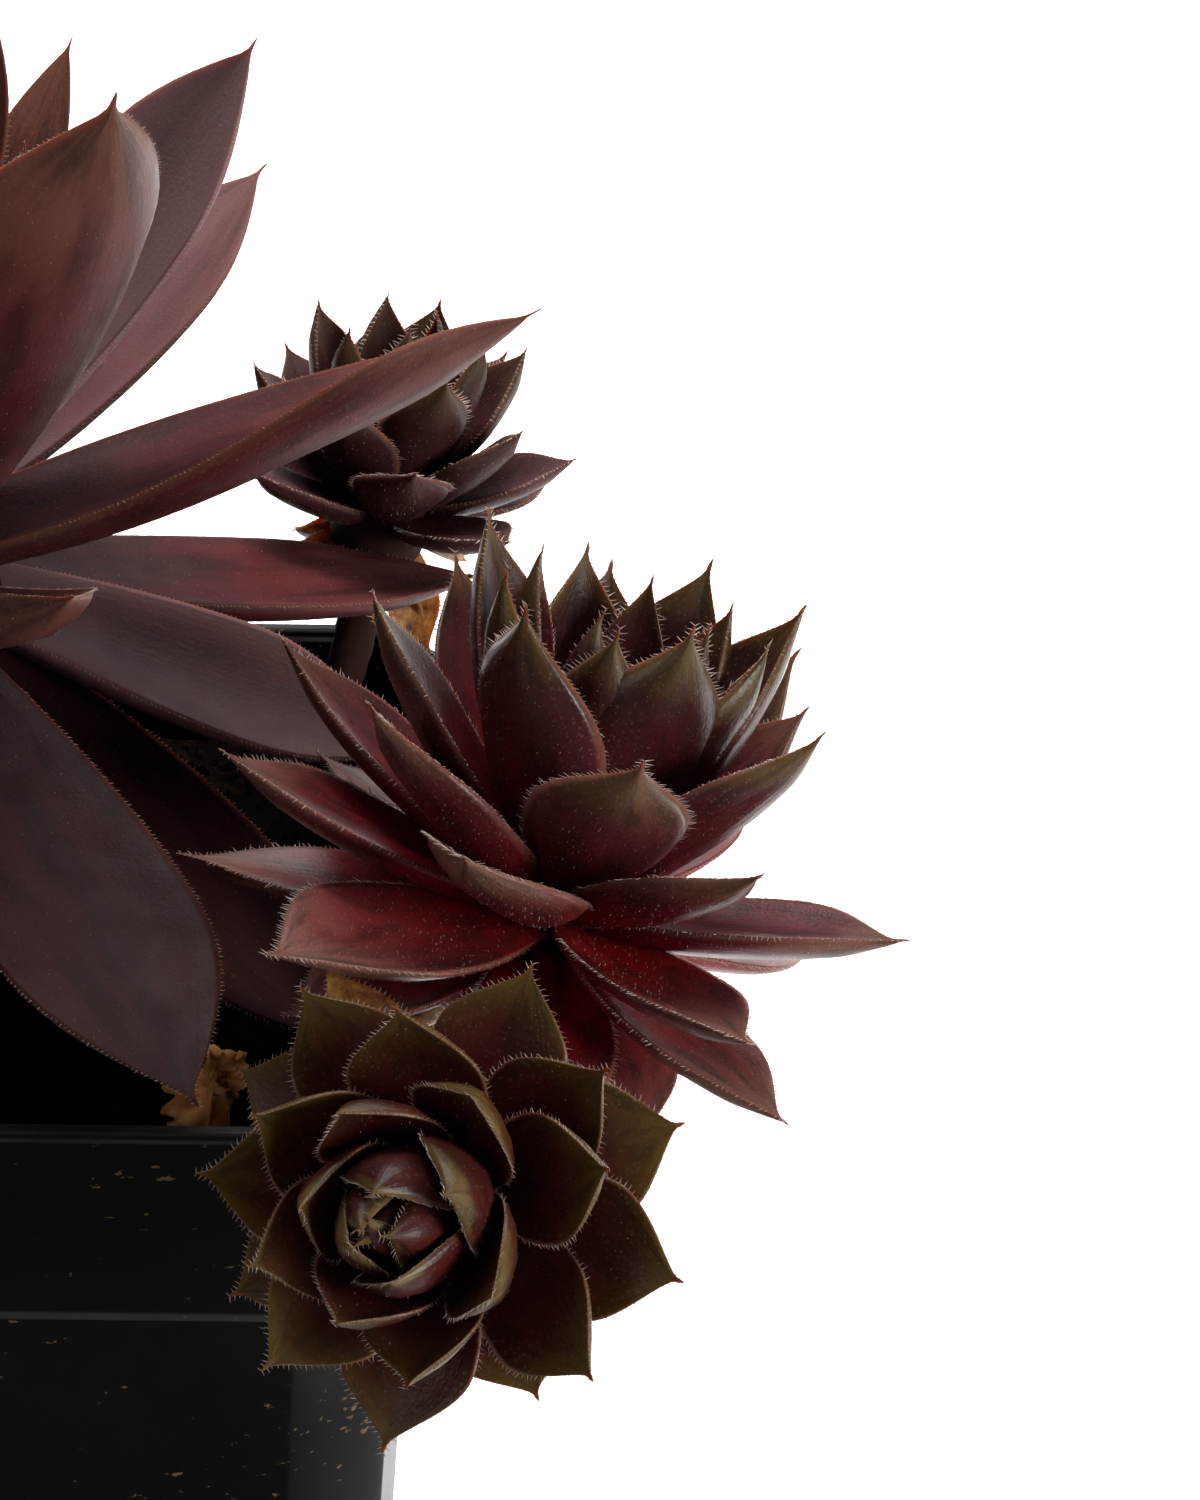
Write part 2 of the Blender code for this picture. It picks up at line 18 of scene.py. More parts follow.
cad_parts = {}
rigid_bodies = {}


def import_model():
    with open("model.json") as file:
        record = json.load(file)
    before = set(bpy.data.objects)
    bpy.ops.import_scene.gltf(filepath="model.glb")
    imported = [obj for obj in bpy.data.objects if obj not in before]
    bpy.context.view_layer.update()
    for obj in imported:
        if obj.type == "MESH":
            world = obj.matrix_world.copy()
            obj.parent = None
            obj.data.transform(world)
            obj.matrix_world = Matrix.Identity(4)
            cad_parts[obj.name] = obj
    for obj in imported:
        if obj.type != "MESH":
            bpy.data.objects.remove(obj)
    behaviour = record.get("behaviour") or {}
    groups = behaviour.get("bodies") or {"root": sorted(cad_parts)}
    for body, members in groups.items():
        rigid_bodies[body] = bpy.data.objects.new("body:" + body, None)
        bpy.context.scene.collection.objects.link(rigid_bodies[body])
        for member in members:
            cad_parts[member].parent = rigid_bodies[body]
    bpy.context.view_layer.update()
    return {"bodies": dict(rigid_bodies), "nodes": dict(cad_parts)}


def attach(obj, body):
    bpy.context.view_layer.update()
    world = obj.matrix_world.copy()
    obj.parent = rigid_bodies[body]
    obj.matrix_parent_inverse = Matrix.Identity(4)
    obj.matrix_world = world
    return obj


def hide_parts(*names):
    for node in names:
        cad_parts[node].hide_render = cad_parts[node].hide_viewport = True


bl_info = {
    "name": "Potted houseleek",
    "version": (1, 0, 0),
    "blender": (4, 5, 0),
    "location": "3D View > Sidebar > Houseleek",
    "description": "Builds a houseleek with its offsets in a square nursery pot",
    "category": "Add Mesh",
}

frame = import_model()

MM = 0.001
BODY = "root"
GOLDEN_ANGLE = math.radians(137.508)


def linear(code):
    """sRGB hex, such as #2a0d0c, as linear red, green and blue."""
    channels = [int(code[k : k + 2], 16) / 255 for k in (1, 3, 5)]
    return tuple(c / 12.92 if c <= 0.04045 else ((c + 0.055) / 1.055) ** 2.4 for c in channels)


def blend(pair, share):
    return pair[0] + (pair[1] - pair[0]) * share


# Sizes and colours that a user would change


def length_property(name, description, default):
    return FloatProperty(
        name=name,
        description=description,
        default=default,
        min=0,
        unit="LENGTH",
        subtype="DISTANCE",
        precision=4,
    )


def amount_property(name, description, default):
    return FloatProperty(name=name, description=description, default=default, min=0)


def colour_property(name, description, code):
    return FloatVectorProperty(
        name=name, description=description, default=linear(code), min=0, max=1, size=3, subtype="COLOR"
    )


class PotSettings(bpy.types.PropertyGroup):
    lip_width: length_property("Lip width", "Outside width of the pot across its lip", 90 * MM)
    height: length_property("Height", "Height of the pot", 90 * MM)
    band_width: length_property("Band width", "Outside width of the band at its lower edge", 89.4 * MM)
    band_height: length_property("Band height", "Height of the stiffening band under the lip", 17.6 * MM)
    step_in: length_property("Step", "How far the body steps in under the band", 1.5 * MM)
    foot_width: length_property("Foot width", "Outside width of the pot at its foot", 76 * MM)
    corner_cut: length_property("Corner cut", "How much of each side the corner cut takes at the lip", 8 * MM)
    wall: length_property("Wall", "Thickness of the moulded wall", 1.2 * MM)
    drain_radius: length_property("Drain hole radius", "Radius of each drain hole", 4 * MM)
    drain_offset: length_property("Drain hole offset", "Distance of each drain hole from the middle", 24 * MM)
    plastic: colour_property("Plastic", "Colour of the black polypropylene", "#050506")
    # Painted highlight along the lip and the band's lower edge
    edge_highlight: colour_property("Scuff", "Colour of the plastic's worn edges", "#484644")
    dust: colour_property("Dust", "Colour of the dried dirt on the plastic", "#7a6446")


class SoilSettings(bpy.types.PropertyGroup):
    depth: length_property("Depth below lip", "How far the soil lies below the lip", 10 * MM)
    mound: length_property("Mound", "How much higher the soil is in the middle", 4 * MM)
    ripple: length_property("Ripple", "Height of the soil's broad unevenness", 0.7 * MM)
    grain: length_property("Grain", "Height of the fine lumps in the soil", 0.8 * MM)
    crumb: length_property("Crumb size", "Size of a loose crumb on the soil", 1.3 * MM)
    crumbs: amount_property("Crumbs", "Loose crumbs on each square metre", 170000)
    seed: IntProperty(name="Seed", description="Seed of the crumbs' places", default=5, min=0)
    # Nearly black, partly the moist peat's own colour and partly painted shade
    peat: colour_property("Peat", "Colour of the moist peat", "#0c0807")
    bark: colour_property("Bark", "Colour of the bark and fibre in it", "#2a1c11")


class LeafSettings(bpy.types.PropertyGroup):
    hair_length: length_property("Hair length", "Length of the hairs on a leaf's margin", 0.62 * MM)
    hair_spacing: length_property("Hair spacing", "Distance between hairs on a leaf's margin", 0.42 * MM)
    fuzz_length: length_property("Fuzz length", "Length of the glandular hairs on a leaf's faces", 0.14 * MM)
    fuzz: amount_property("Fuzz", "Glandular hairs on each square millimetre", 1.05)
    waviness: length_property("Waviness", "How far a blade swells and dips", 0.3 * MM)
    hair: colour_property("Hair", "Colour of the hairs", "#e6d8cc")
    bark: colour_property("Runner bark", "Colour of the runners and stems", "#34211a")
    dry: colour_property("Dry leaf", "Colour of a withered leaf", "#b87a3a")


class StageSettings(bpy.types.PropertyGroup):
    floor_width: length_property("Floor width", "Width of the pale floor", 6.0)
    floor: colour_property("Floor", "Colour of the pale floor", "#f2f2f0")
    back_light: amount_property("Back light", "Watts on the floor behind", 6)
    key_light: amount_property("Key light", "Watts of the light behind the plant", 3.0)
    top_light: amount_property("Top light", "Watts of the light above the plant", 0.7)
    left_light: amount_property("Left light", "Watts from the camera's upper left", 0.07)
    right_light: amount_property("Right light", "Watts from the camera's right", 0.48)
    sky: amount_property("Sky", "Strength of the even light all round", 0.06)


# The rosettes and withered leaves, with the sizes of their solids


class Trim(NamedTuple):
    """What one leaf adds to its rosette's rule: degrees, and shares of its length and width."""

    turn: float = 0
    lean: float = 0
    length: float = 1
    roll: float = 0
    width: float = 1


@dataclass
class Rosette:
    """One rosette. Angles are in degrees; each pair runs from the innermost leaf to the outermost."""

    name: str
    look: str
    slot: str
    base: tuple
    tilt: float
    heading: float
    start: float
    hand: int
    count: int
    lean: tuple
    lean_power: float
    length: tuple
    width: tuple
    curl: tuple
    rise: float
    girth: float
    thickness: float
    foot: tuple
    stem_radius: float
    stem_bend: tuple
    seed: int
    widest_at: float = 0.56
    sharpness: float = 1.35
    hairiness: float = 1
    fallen: tuple = ()
    skirt: int = 6
    shred: tuple = ()
    trims: dict = field(default_factory=dict)
    # How much painted shade darkens chosen leaves against their neighbours, and under nought how much painted
    # light makes them paler
    painted_light_and_shade: dict = field(default_factory=dict)


ROSETTES = (
    Rosette(
        name="rosette_mother",
        look="mauve",
        slot="mother_leaf",
        base=(-1.3 * MM, -6.8 * MM, 117.8 * MM),
        tilt=17,
        heading=-38,
        start=44,
        hand=-1,
        count=36,
        lean=(6, 135),
        lean_power=0.84,
        length=(46 * MM, 51.5 * MM),
        width=(21 * MM, 18.5 * MM),
        curl=(36, 8),
        rise=7.2 * MM,
        girth=8.5 * MM,
        thickness=3.0 * MM,
        foot=(0 * MM, 0 * MM),
        stem_radius=5.5 * MM,
        stem_bend=(-1 * MM, -2 * MM, 100 * MM),
        seed=3,
        widest_at=0.66,
        sharpness=0.95,
        hairiness=0.55,
        fallen=(8, 16, 34),
        # Painted light on leaves 5, 18 and 21, painted shade on leaves 24 and 26
        painted_light_and_shade={5: -0.7, 18: -0.25, 21: -0.4, 24: 0.7, 26: 0.25},
        trims={
            0: Trim(length=0.8),
            2: Trim(width=0.75),
            3: Trim(turn=-5, lean=-6, length=1.15, width=1.5),
            5: Trim(turn=3, lean=2, width=0.8),
            10: Trim(turn=7, length=0.88, width=0.35),
            11: Trim(turn=-3, width=0.6),
            13: Trim(turn=-2, lean=-1, length=1.02, roll=-50, width=0.9),
            18: Trim(turn=9, lean=-11, length=0.96, roll=-9, width=0.65),
            21: Trim(turn=3, lean=13, length=0.82, width=0.82),
            24: Trim(turn=2, length=1.05),
            26: Trim(turn=2, lean=-3, length=1.12, roll=-20, width=0.7),
            29: Trim(turn=-3, length=0.92),
            31: Trim(length=0.85),
            32: Trim(length=0.8),
            33: Trim(length=0.72),
            35: Trim(length=0.85),
        },
    ),
    Rosette(
        name="offset_right",
        look="maroon",
        slot="offset_leaf",
        base=(54.8 * MM, -26 * MM, 97 * MM),
        tilt=16.5,
        heading=21,
        start=202,
        hand=-1,
        count=45,
        lean=(12, 119),
        lean_power=1.25,
        length=(21 * MM, 28.5 * MM),
        width=(10.5 * MM, 11.5 * MM),
        curl=(46, 6),
        rise=9 * MM,
        girth=3.5 * MM,
        thickness=1.9 * MM,
        foot=(36 * MM, -9 * MM),
        stem_radius=2.0 * MM,
        stem_bend=(44 * MM, -14 * MM, 104 * MM),
        seed=11,
        fallen=(20, 33, 41, 43),
        trims={
            8: Trim(length=1.08),
            10: Trim(lean=-10, length=1.05, width=1.2),
            11: Trim(length=1.08),
            12: Trim(turn=3, lean=-10, length=1.06, width=1.1),
            13: Trim(turn=-6, lean=-9, length=1.12, width=1.2),
            15: Trim(width=1.15),
            18: Trim(turn=3, lean=-4, width=1.15),
            21: Trim(width=1.15),
            25: Trim(lean=-26, length=0.85),
            26: Trim(width=1.15),
            28: Trim(width=1.2),
            31: Trim(turn=18, length=1.05),
            32: Trim(length=0.85),
            34: Trim(length=1.1, width=1.35),
            36: Trim(turn=-4),
            37: Trim(length=0.93),
            39: Trim(turn=12, length=0.85),
            42: Trim(length=0.72, width=1.15),
            44: Trim(turn=10, lean=-3, length=0.6),
        },
    ),
    Rosette(
        name="offset_front",
        look="olive",
        slot="front_leaf",
        base=(49 * MM, -56.5 * MM, 92 * MM),
        tilt=69,
        heading=-108,
        start=143,
        hand=-1,
        count=30,
        lean=(-10, 99),
        lean_power=1.1,
        length=(15 * MM, 17 * MM),
        width=(7.5 * MM, 11 * MM),
        curl=(80, 2),
        rise=5 * MM,
        girth=3.2 * MM,
        thickness=1.7 * MM,
        foot=(34 * MM, -33 * MM),
        stem_radius=1.9 * MM,
        stem_bend=(40 * MM, -41 * MM, 107 * MM),
        shred=(222, 96, 17.5 * MM, 6.5 * MM),
        seed=7,
        widest_at=0.58,
        sharpness=1.4,
        hairiness=0.75,
        trims={
            16: Trim(turn=12, lean=10, length=1.05),
            19: Trim(turn=10, length=1.12),
            22: Trim(length=1.06),
            26: Trim(length=0.93),
            27: Trim(length=0.84),
            29: Trim(length=0.9),
        },
    ),
    Rosette(
        name="offset_back",
        look="dark",
        slot="offset_leaf",
        base=(38.5 * MM, 36 * MM, 105 * MM),
        tilt=10,
        heading=0,
        start=40,
        hand=-1,
        count=24,
        lean=(8, 88),
        lean_power=1.1,
        length=(15.5 * MM, 15.5 * MM),
        width=(7.5 * MM, 8.5 * MM),
        curl=(44, 10),
        rise=4.5 * MM,
        girth=3.2 * MM,
        thickness=1.7 * MM,
        foot=(32 * MM, 29 * MM),
        stem_radius=1.8 * MM,
        stem_bend=(37 * MM, 32 * MM, 96 * MM),
        seed=19,
        fallen=(22,),
        skirt=11,
    ),
    Rosette(
        name="offset_left_front",
        look="olive",
        slot="front_leaf",
        base=(-42 * MM, -43 * MM, 97 * MM),
        tilt=30,
        heading=-125,
        start=75,
        hand=1,
        count=22,
        lean=(6, 105),
        lean_power=1.3,
        length=(13 * MM, 16 * MM),
        width=(6.5 * MM, 8.5 * MM),
        curl=(48, 8),
        rise=4 * MM,
        girth=3 * MM,
        thickness=1.6 * MM,
        foot=(-31 * MM, -33 * MM),
        stem_radius=1.7 * MM,
        stem_bend=(-36 * MM, -37 * MM, 106 * MM),
        seed=23,
    ),
    Rosette(
        name="offset_left_back",
        look="maroon",
        slot="offset_leaf",
        base=(-40 * MM, 34 * MM, 98 * MM),
        tilt=18,
        heading=120,
        start=10,
        hand=-1,
        count=22,
        lean=(6, 108),
        lean_power=1.3,
        length=(14 * MM, 18 * MM),
        width=(7 * MM, 8.5 * MM),
        curl=(46, 10),
        rise=4 * MM,
        girth=3 * MM,
        thickness=1.6 * MM,
        foot=(-29 * MM, 27 * MM),
        stem_radius=1.7 * MM,
        stem_bend=(-33 * MM, 30 * MM, 94 * MM),
        seed=29,
    ),
)


class WitheredLeaf(NamedTuple):
    """A dead leaf that stands in the soil on its dry base and rolls up towards its end."""

    name: str
    foot: tuple
    heading: float
    height: float
    width: float
    coil: tuple
    torn: float = 0


WITHERED_LEAVES = (
    WitheredLeaf("withered_leaf_front", (28.5 * MM, -36.7 * MM), -80, 7 * MM, 6.5 * MM, (430, 19 * MM), 1),
    WitheredLeaf("withered_leaf_right", (39.5 * MM, -30 * MM), 150, 7 * MM, 5.5 * MM, (50, 8 * MM)),
    WitheredLeaf("withered_leaf_left", (-16 * MM, -36 * MM), -20, 3 * MM, 6 * MM, (250, 13 * MM)),
    WitheredLeaf("withered_leaf_back", (6 * MM, 35 * MM), 60, 3 * MM, 6 * MM, (200, 12 * MM)),
)
WITHERED_HALF_FOOT = 0.8 * MM
WITHERED_COIL_POWER = 1.25
WITHERED_COLLAR_ROWS = 6
WITHERED_ROWS = 44
WITHERED_COLUMNS = 18
WITHERED_WALL = 0.3 * MM
WITHERED_CRUMPLE = 1.1 * MM
WITHERED_TROUGH = 0.5 * MM
WITHERED_RAGGEDNESS = 0.5

# Stems: how deep they stand in the soil, and how far old leaf scars stand out from them
STEM_HOLE_DEPTH = 8 * MM
STEM_SCARS = 0.16
STEM_STEPS = 30
STEM_SIDES = 20


@dataclass
class LeafLook:
    """Colours of a leaf, and how its skin takes the light.

    Young and old are the colours of the innermost and the outermost leaf at its root, body, shoulder
    and tip. Tip_start is where the shoulder ends on each, as a share of the leaf's length.
    """

    material: str
    young: tuple
    old: tuple
    tip_start: tuple
    edge_shift: float
    margin: str
    shade: str
    shaded: float
    # How far painted shade darkens the oldest leaves
    aged_painted_shade: float
    bloom: str
    bloom_amount: float
    vein: float
    papillae: float
    roughness: float
    gloss: float


LOOKS = {
    "mauve": LeafLook(
        "Houseleek leaf, mauve with wax bloom",
        young=("#3c0a0d", "#441618", "#542826", "#6a4636"),
        old=("#340a0c", "#5a181c", "#692c2e", "#64383a"),
        tip_start=(0.62, 0.7),
        edge_shift=0.05,
        margin="#7a5540",
        shade="#200c0b",
        shaded=0.6,
        aged_painted_shade=0.85,
        bloom="#80504f",
        bloom_amount=0.24,
        vein=0.12,
        papillae=0.12,
        roughness=0.5,
        gloss=0.15,
    ),
    "maroon": LeafLook(
        "Houseleek leaf, maroon",
        young=("#860914", "#4a090f", "#38100d", "#5c481a"),
        old=("#a00b17", "#861019", "#722428", "#80564a"),
        tip_start=(0.8, 0.66),
        edge_shift=0.1,
        margin="#96685a",
        shade="#1e0f0a",
        shaded=0.6,
        aged_painted_shade=0.0,
        bloom="#9a6a6a",
        bloom_amount=0.12,
        vein=0.07,
        papillae=0.3,
        roughness=0.33,
        gloss=0.45,
    ),
    "olive": LeafLook(
        "Houseleek leaf, olive and maroon",
        young=("#5c0910", "#4a0a0f", "#45140f", "#68542c"),
        old=("#5a080f", "#490a0e", "#48180c", "#5e4a14"),
        tip_start=(0.9, 0.66),
        edge_shift=0.14,
        margin="#8c6a50",
        shade="#1c0f08",
        shaded=0.5,
        aged_painted_shade=0.0,
        bloom="#8e6c60",
        bloom_amount=0.1,
        vein=0.04,
        papillae=0.3,
        roughness=0.36,
        gloss=0.4,
    ),
    "dark": LeafLook(
        "Houseleek leaf, dark brown",
        young=("#461012", "#341413", "#361614", "#4c3822"),
        old=("#461012", "#341413", "#3a1816", "#523130"),
        tip_start=(0.7, 0.7),
        edge_shift=0.1,
        margin="#7c5a48",
        shade="#140908",
        shaded=0.4,
        aged_painted_shade=0.0,
        bloom="#6e5052",
        bloom_amount=0.14,
        vein=0.1,
        papillae=0.1,
        roughness=0.5,
        gloss=0.2,
    ),
}

# A leaf's form, and how far one may differ from its rosette's rule, as in the solids
LEAF_BASE_SHARE = 0.34
LEAF_TIP_POWER = 1.15
LEAF_TIP_THICKNESS = 0.4
LEAF_THINNING_POWER = 0.7
LEAF_CUP = (0.55, 0.16)
LEAF_ROOT = (0.25, 0.8)
YOUNG_WIDTH = 0.55
YOUNG_GROWTH = 2.2
YOUNG_THINNING = 0.3
CROWN_SPREAD = 1.4
LEAN_WOBBLE = 2.5
TURN_WOBBLE = 3
CURL_WOBBLE = 4
ROLL_WOBBLE = 7
LENGTH_WOBBLE = 0.04
WIDTH_WOBBLE = 0.05

# The dry leaves under a crown: degrees, but for the turn, which is in radians, and a length that grows
# a little with the rosette. The rest are shares of the rosette's own sizes
SKIRT_TURN = 0.3
SKIRT_LEAN = (112, 160)
SKIRT_CURL = (25, 95)
SHRED_CURL = 8
SKIRT_ROLL = 60
SKIRT_DROP = 0.3
SKIRT_GIRTH = 0.8
SKIRT_LENGTH = 6 * MM
SKIRT_GROWTH = 0.2
SKIRT_LENGTHS = (0.85, 1.2)
SKIRT_WIDTHS = (0.5, 0.75)
SKIRT_CUP = (0.2, 0.7)
SKIRT_THINNESS = 0.3

# The blank that every leaf is bent from: rows along it and points round its section
BLANK_ROWS = 24
BLANK_POINTS = 16
BLANK_CROWDING = 1.35
UPPER_SWELL = 0.24
SPINE_SHARE = 1.025
SPINE_WIDTH = 0.035
SPINE_THINNING = 0.1
SPINE_START = 0.2
END_DEPTH = -0.3

# Hairs start at a share of the leaf's length, slant to its tip and stray at random. Their sizes, and
# their radii at root and tip, are shares of the length that is set for them
HAIR_START = 0.2
HAIR_SLANT = 0.45
HAIR_STRAY = 0.4
HAIR_SIZES = (0.5, 1.15)
HAIR_RADII = (0.09, 0.02)
FUZZ_SIZES = (0.4, 1.3)
FUZZ_RADII = (0.11, 0.03)


# Small helpers


def add_node(tree, kind, inputs=(), stops=(), **settings):
    """Adds a node with its settings. Inputs pair a socket's name or number with a value, node or socket."""
    node = tree.nodes.new(kind)
    for name, value in settings.items():
        setattr(node, name, value)
    for key, value in dict(inputs).items():
        named = [s for s in node.inputs if s.name == key and s.enabled]
        socket = named[0] if named else node.inputs[key]
        if isinstance(value, bpy.types.Node):
            value = next(s for s in value.outputs if s.enabled)
        if isinstance(value, bpy.types.NodeSocket):
            tree.links.new(value, socket)
        else:
            socket.default_value = value
    if stops:
        elements = node.color_ramp.elements
        while len(elements) < len(stops):
            elements.new(1)
        for element, (place, colour) in zip(elements, stops):
            element.position = place
            element.color = (*linear(colour), 1) if isinstance(colour, str) else (colour, colour, colour, 1)
    return node


def new_tree(name, sockets):
    """A Geometry Nodes tree with named inputs, its input node, and each input's identifier."""
    tree = bpy.data.node_groups.new(name, "GeometryNodeTree")
    tree.is_modifier = True
    tree.interface.new_socket(name="Geometry", in_out="INPUT", socket_type="NodeSocketGeometry")
    identifiers = {}
    for label, kind in sockets:
        made = tree.interface.new_socket(name=label, in_out="INPUT", socket_type=kind)
        identifiers[label] = made.identifier
    tree.interface.new_socket(name="Geometry", in_out="OUTPUT", socket_type="NodeSocketGeometry")
    return tree, add_node(tree, "NodeGroupInput").outputs, identifiers


def link_object(name, mesh):
    obj = bpy.data.objects.new(name, mesh)
    bpy.context.scene.collection.objects.link(obj)
    return obj


def mesh_from(bm, name):
    """Turns a bmesh into a mesh and frees it."""
    mesh = bpy.data.meshes.new(name)
    bm.to_mesh(mesh)
    bm.free()
    return mesh


def finished(obj, name):
    """Replaces an object with its evaluated mesh: modifiers applied, placed at the origin."""
    bpy.context.view_layer.update()
    graph = bpy.context.evaluated_depsgraph_get()
    grown_up = obj.evaluated_get(graph)
    mesh = bpy.data.meshes.new_from_object(grown_up, preserve_all_data_layers=True, depsgraph=graph)
    mesh.transform(obj.matrix_world)
    bpy.data.objects.remove(obj, do_unlink=True)
    mesh.name = name
    return link_object(name, mesh)


def grown(source, name, tree, identifiers, values):
    """Runs a Geometry Nodes tree on an object and returns what it makes as a plain mesh object."""
    modifier = source.modifiers.new("growth", "NODES")
    modifier.node_group = tree
    for label, value in values.items():
        modifier[identifiers[label]] = value
    return finished(source, name)


def handed_in(piece, node=None):
    """Hands a finished piece to the frame: it rides on the body, and may stand for a solid."""
    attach(piece, BODY)
    if node:
        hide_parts(node)


def smoothed(mesh, sharp_angle=None):
    """Shades a mesh smooth, with its edges over an angle left sharp."""
    bm = bmesh.new()
    bm.from_mesh(mesh)
    for face in bm.faces:
        face.smooth = True
    for edge in bm.edges if sharp_angle else ():
        if len(edge.link_faces) == 2:
            edge.smooth = edge.calc_face_angle() <= math.radians(sharp_angle)
    bm.to_mesh(mesh)
    bm.free()


def lofted(bm, rings):
    """Skins rings of points, in order, and closes both ends on their middles."""
    rows = [[bm.verts.new(point) for point in ring] for ring in rings]
    for lower, upper in zip(rows, rows[1:]):
        for k, vert in enumerate(lower):
            near = (k + 1) % len(lower)
            bm.faces.new((vert, lower[near], upper[near], upper[k]))
    for row in (rows[0], rows[-1]):
        middle = bm.verts.new(sum((v.co for v in row), Vector()) / len(row))
        for k, vert in enumerate(row):
            bm.faces.new((vert, row[(k + 1) % len(row)], middle))


def new_material(name):
    """A material with its Principled shader; returns it, its tree and the shader."""
    material = bpy.data.materials.new(name)
    material.use_nodes = True
    tree = material.node_tree
    return material, tree, tree.nodes["Principled BSDF"]


# Materials


def leaf_material(look):
    """Fleshy leaf skin: waxy, softly glossy, red at the root, and paler along a thin margin."""
    material, tree, shader = new_material(look.material)
    section = add_node(tree, "ShaderNodeAttribute", attribute_name="section").outputs["Vector"]
    nature = add_node(tree, "ShaderNodeAttribute", attribute_name="nature").outputs["Vector"]
    blade = add_node(tree, "ShaderNodeSeparateXYZ", {"Vector": section}).outputs
    kind = add_node(tree, "ShaderNodeSeparateXYZ", {"Vector": nature}).outputs
    place = add_node(tree, "ShaderNodeTexCoord").outputs["Object"]
    # Blotches 5 mm across shift the colours along the leaf, so no two leaves change at one line
    blotch = add_node(tree, "ShaderNodeTexNoise", {"Vector": place, "Scale": 200.0, "Detail": 3.0})
    shift = add_node(tree, "ShaderNodeMath", {0: blotch, 1: 0.24, 2: -0.18}, operation="MULTIPLY_ADD")
    chance = add_node(tree, "ShaderNodeMath", {0: kind["Z"], 1: 0.12, 2: shift}, operation="MULTIPLY_ADD")
    along = add_node(tree, "ShaderNodeMath", {0: blade["Y"], 1: chance}, operation="ADD")
    # The margins turn colour before the middle does
    edge = add_node(tree, "ShaderNodeMath", {0: blade["X"]}, operation="ABSOLUTE")
    bowed = add_node(tree, "ShaderNodeMath", {0: edge, 1: 3.0}, operation="POWER")
    along = add_node(
        tree,
        "ShaderNodeMath",
        {0: bowed, 1: look.edge_shift, 2: along},
        operation="MULTIPLY_ADD",
    )
    ramps = []
    for colours, tip_start in zip((look.young, look.old), look.tip_start):
        stops = zip((0.1, 0.46, tip_start, 0.96), colours)
        ramps.append(add_node(tree, "ShaderNodeValToRGB", {0: along}, stops=tuple(stops)))
    aged = add_node(tree, "ShaderNodeMapRange", {"Value": kind["Y"], 1: 0.25, 2: 0.7})
    skin = add_node(tree, "ShaderNodeMix", {"Factor": aged, "A": ramps[0], "B": ramps[1]}, data_type="RGBA")
    # Darker mottling 3 mm across, drawn out along the leaf
    mottle = add_node(tree, "ShaderNodeVectorMath", {0: section, 1: (3.0, 5.0, 1.0)}, operation="MULTIPLY")
    own = add_node(tree, "ShaderNodeVectorMath", {0: nature, 1: (0.0, 30.0, 70.0)}, operation="MULTIPLY")
    mottle = add_node(tree, "ShaderNodeVectorMath", {0: mottle, 1: own}, operation="ADD")
    mottle = add_node(
        tree,
        "ShaderNodeTexNoise",
        {"Vector": mottle, "Scale": 1.0, "Detail": 4.0, "Roughness": 0.6},
    )
    mottled = add_node(tree, "ShaderNodeMapRange", {"Value": mottle, 1: 0.45, 2: 0.63, 4: look.shaded})
    # Veins run along the blade, about a millimetre apart
    lanes = add_node(tree, "ShaderNodeVectorMath", {0: section, 1: (7.0, 1.1, 0.0)}, operation="MULTIPLY")
    lanes = add_node(tree, "ShaderNodeVectorMath", {0: lanes, 1: own}, operation="ADD")
    veins = add_node(tree, "ShaderNodeTexNoise", {"Vector": lanes, "Scale": 1.6, "Detail": 4.0})
    veined = add_node(tree, "ShaderNodeMapRange", {"Value": veins, 1: 0.45, 2: 0.72, 4: look.vein})
    bloom = add_node(
        tree,
        "ShaderNodeTexNoise",
        {"Vector": place, "Scale": 90.0, "Detail": 5.0, "Roughness": 0.6},
    )
    bloomed = add_node(tree, "ShaderNodeMapRange", {"Value": bloom, 1: 0.4, 2: 0.7, 4: look.bloom_amount})
    waxed = add_node(tree, "ShaderNodeMath", {0: veined, 1: bloomed}, operation="MAXIMUM")
    # Papillae: pale specks of a tenth of a millimetre, drawn twice as coarse so that they show
    specks = add_node(tree, "ShaderNodeTexVoronoi", {"Vector": place, "Scale": 1900.0})
    speck = add_node(tree, "ShaderNodeMapRange", {"Value": specks, 1: 0.34, 2: 0.1, 4: look.papillae})
    frost = add_node(tree, "ShaderNodeMath", {0: bowed, 1: 0.75, 2: 0.25}, operation="MULTIPLY_ADD")
    speck = add_node(tree, "ShaderNodeMath", {0: speck, 1: frost}, operation="MULTIPLY")
    # The margin is a thin translucent line
    rim = add_node(tree, "ShaderNodeMapRange", {"Value": edge, 1: 0.94, 2: 1.0, 4: 0.5})
    # Painted shade darkens the oldest leaves; chosen leaves get painted shade, and under nought painted light
    painted_shading = add_node(tree, "ShaderNodeAttribute", attribute_name="shade").outputs["Fac"]
    pale = add_node(tree, "ShaderNodeMapRange", {"Value": painted_shading, 1: 0.0, 2: -1.0, 4: 0.7})
    old = add_node(tree, "ShaderNodeMapRange", {"Value": kind["Y"], 1: 0.72, 2: 0.88, 4: look.aged_painted_shade})
    dark = add_node(tree, "ShaderNodeMath", {0: old, 1: painted_shading}, operation="MAXIMUM")
    # Each layer lies over those before it
    layers = (
        (mottled, look.shade),
        (waxed, look.bloom),
        (speck, "#a08a7c"),
        (rim, look.margin),
        # Painted light on chosen leaves
        (pale, "#a8888a"),
        # Painted shade on the oldest and chosen leaves
        (dark, "#180b0a"),
    )
    for share, colour in layers:
        over = {"Factor": share, "A": skin, "B": (*linear(colour), 1)}
        skin = add_node(tree, "ShaderNodeMix", over, data_type="RGBA")
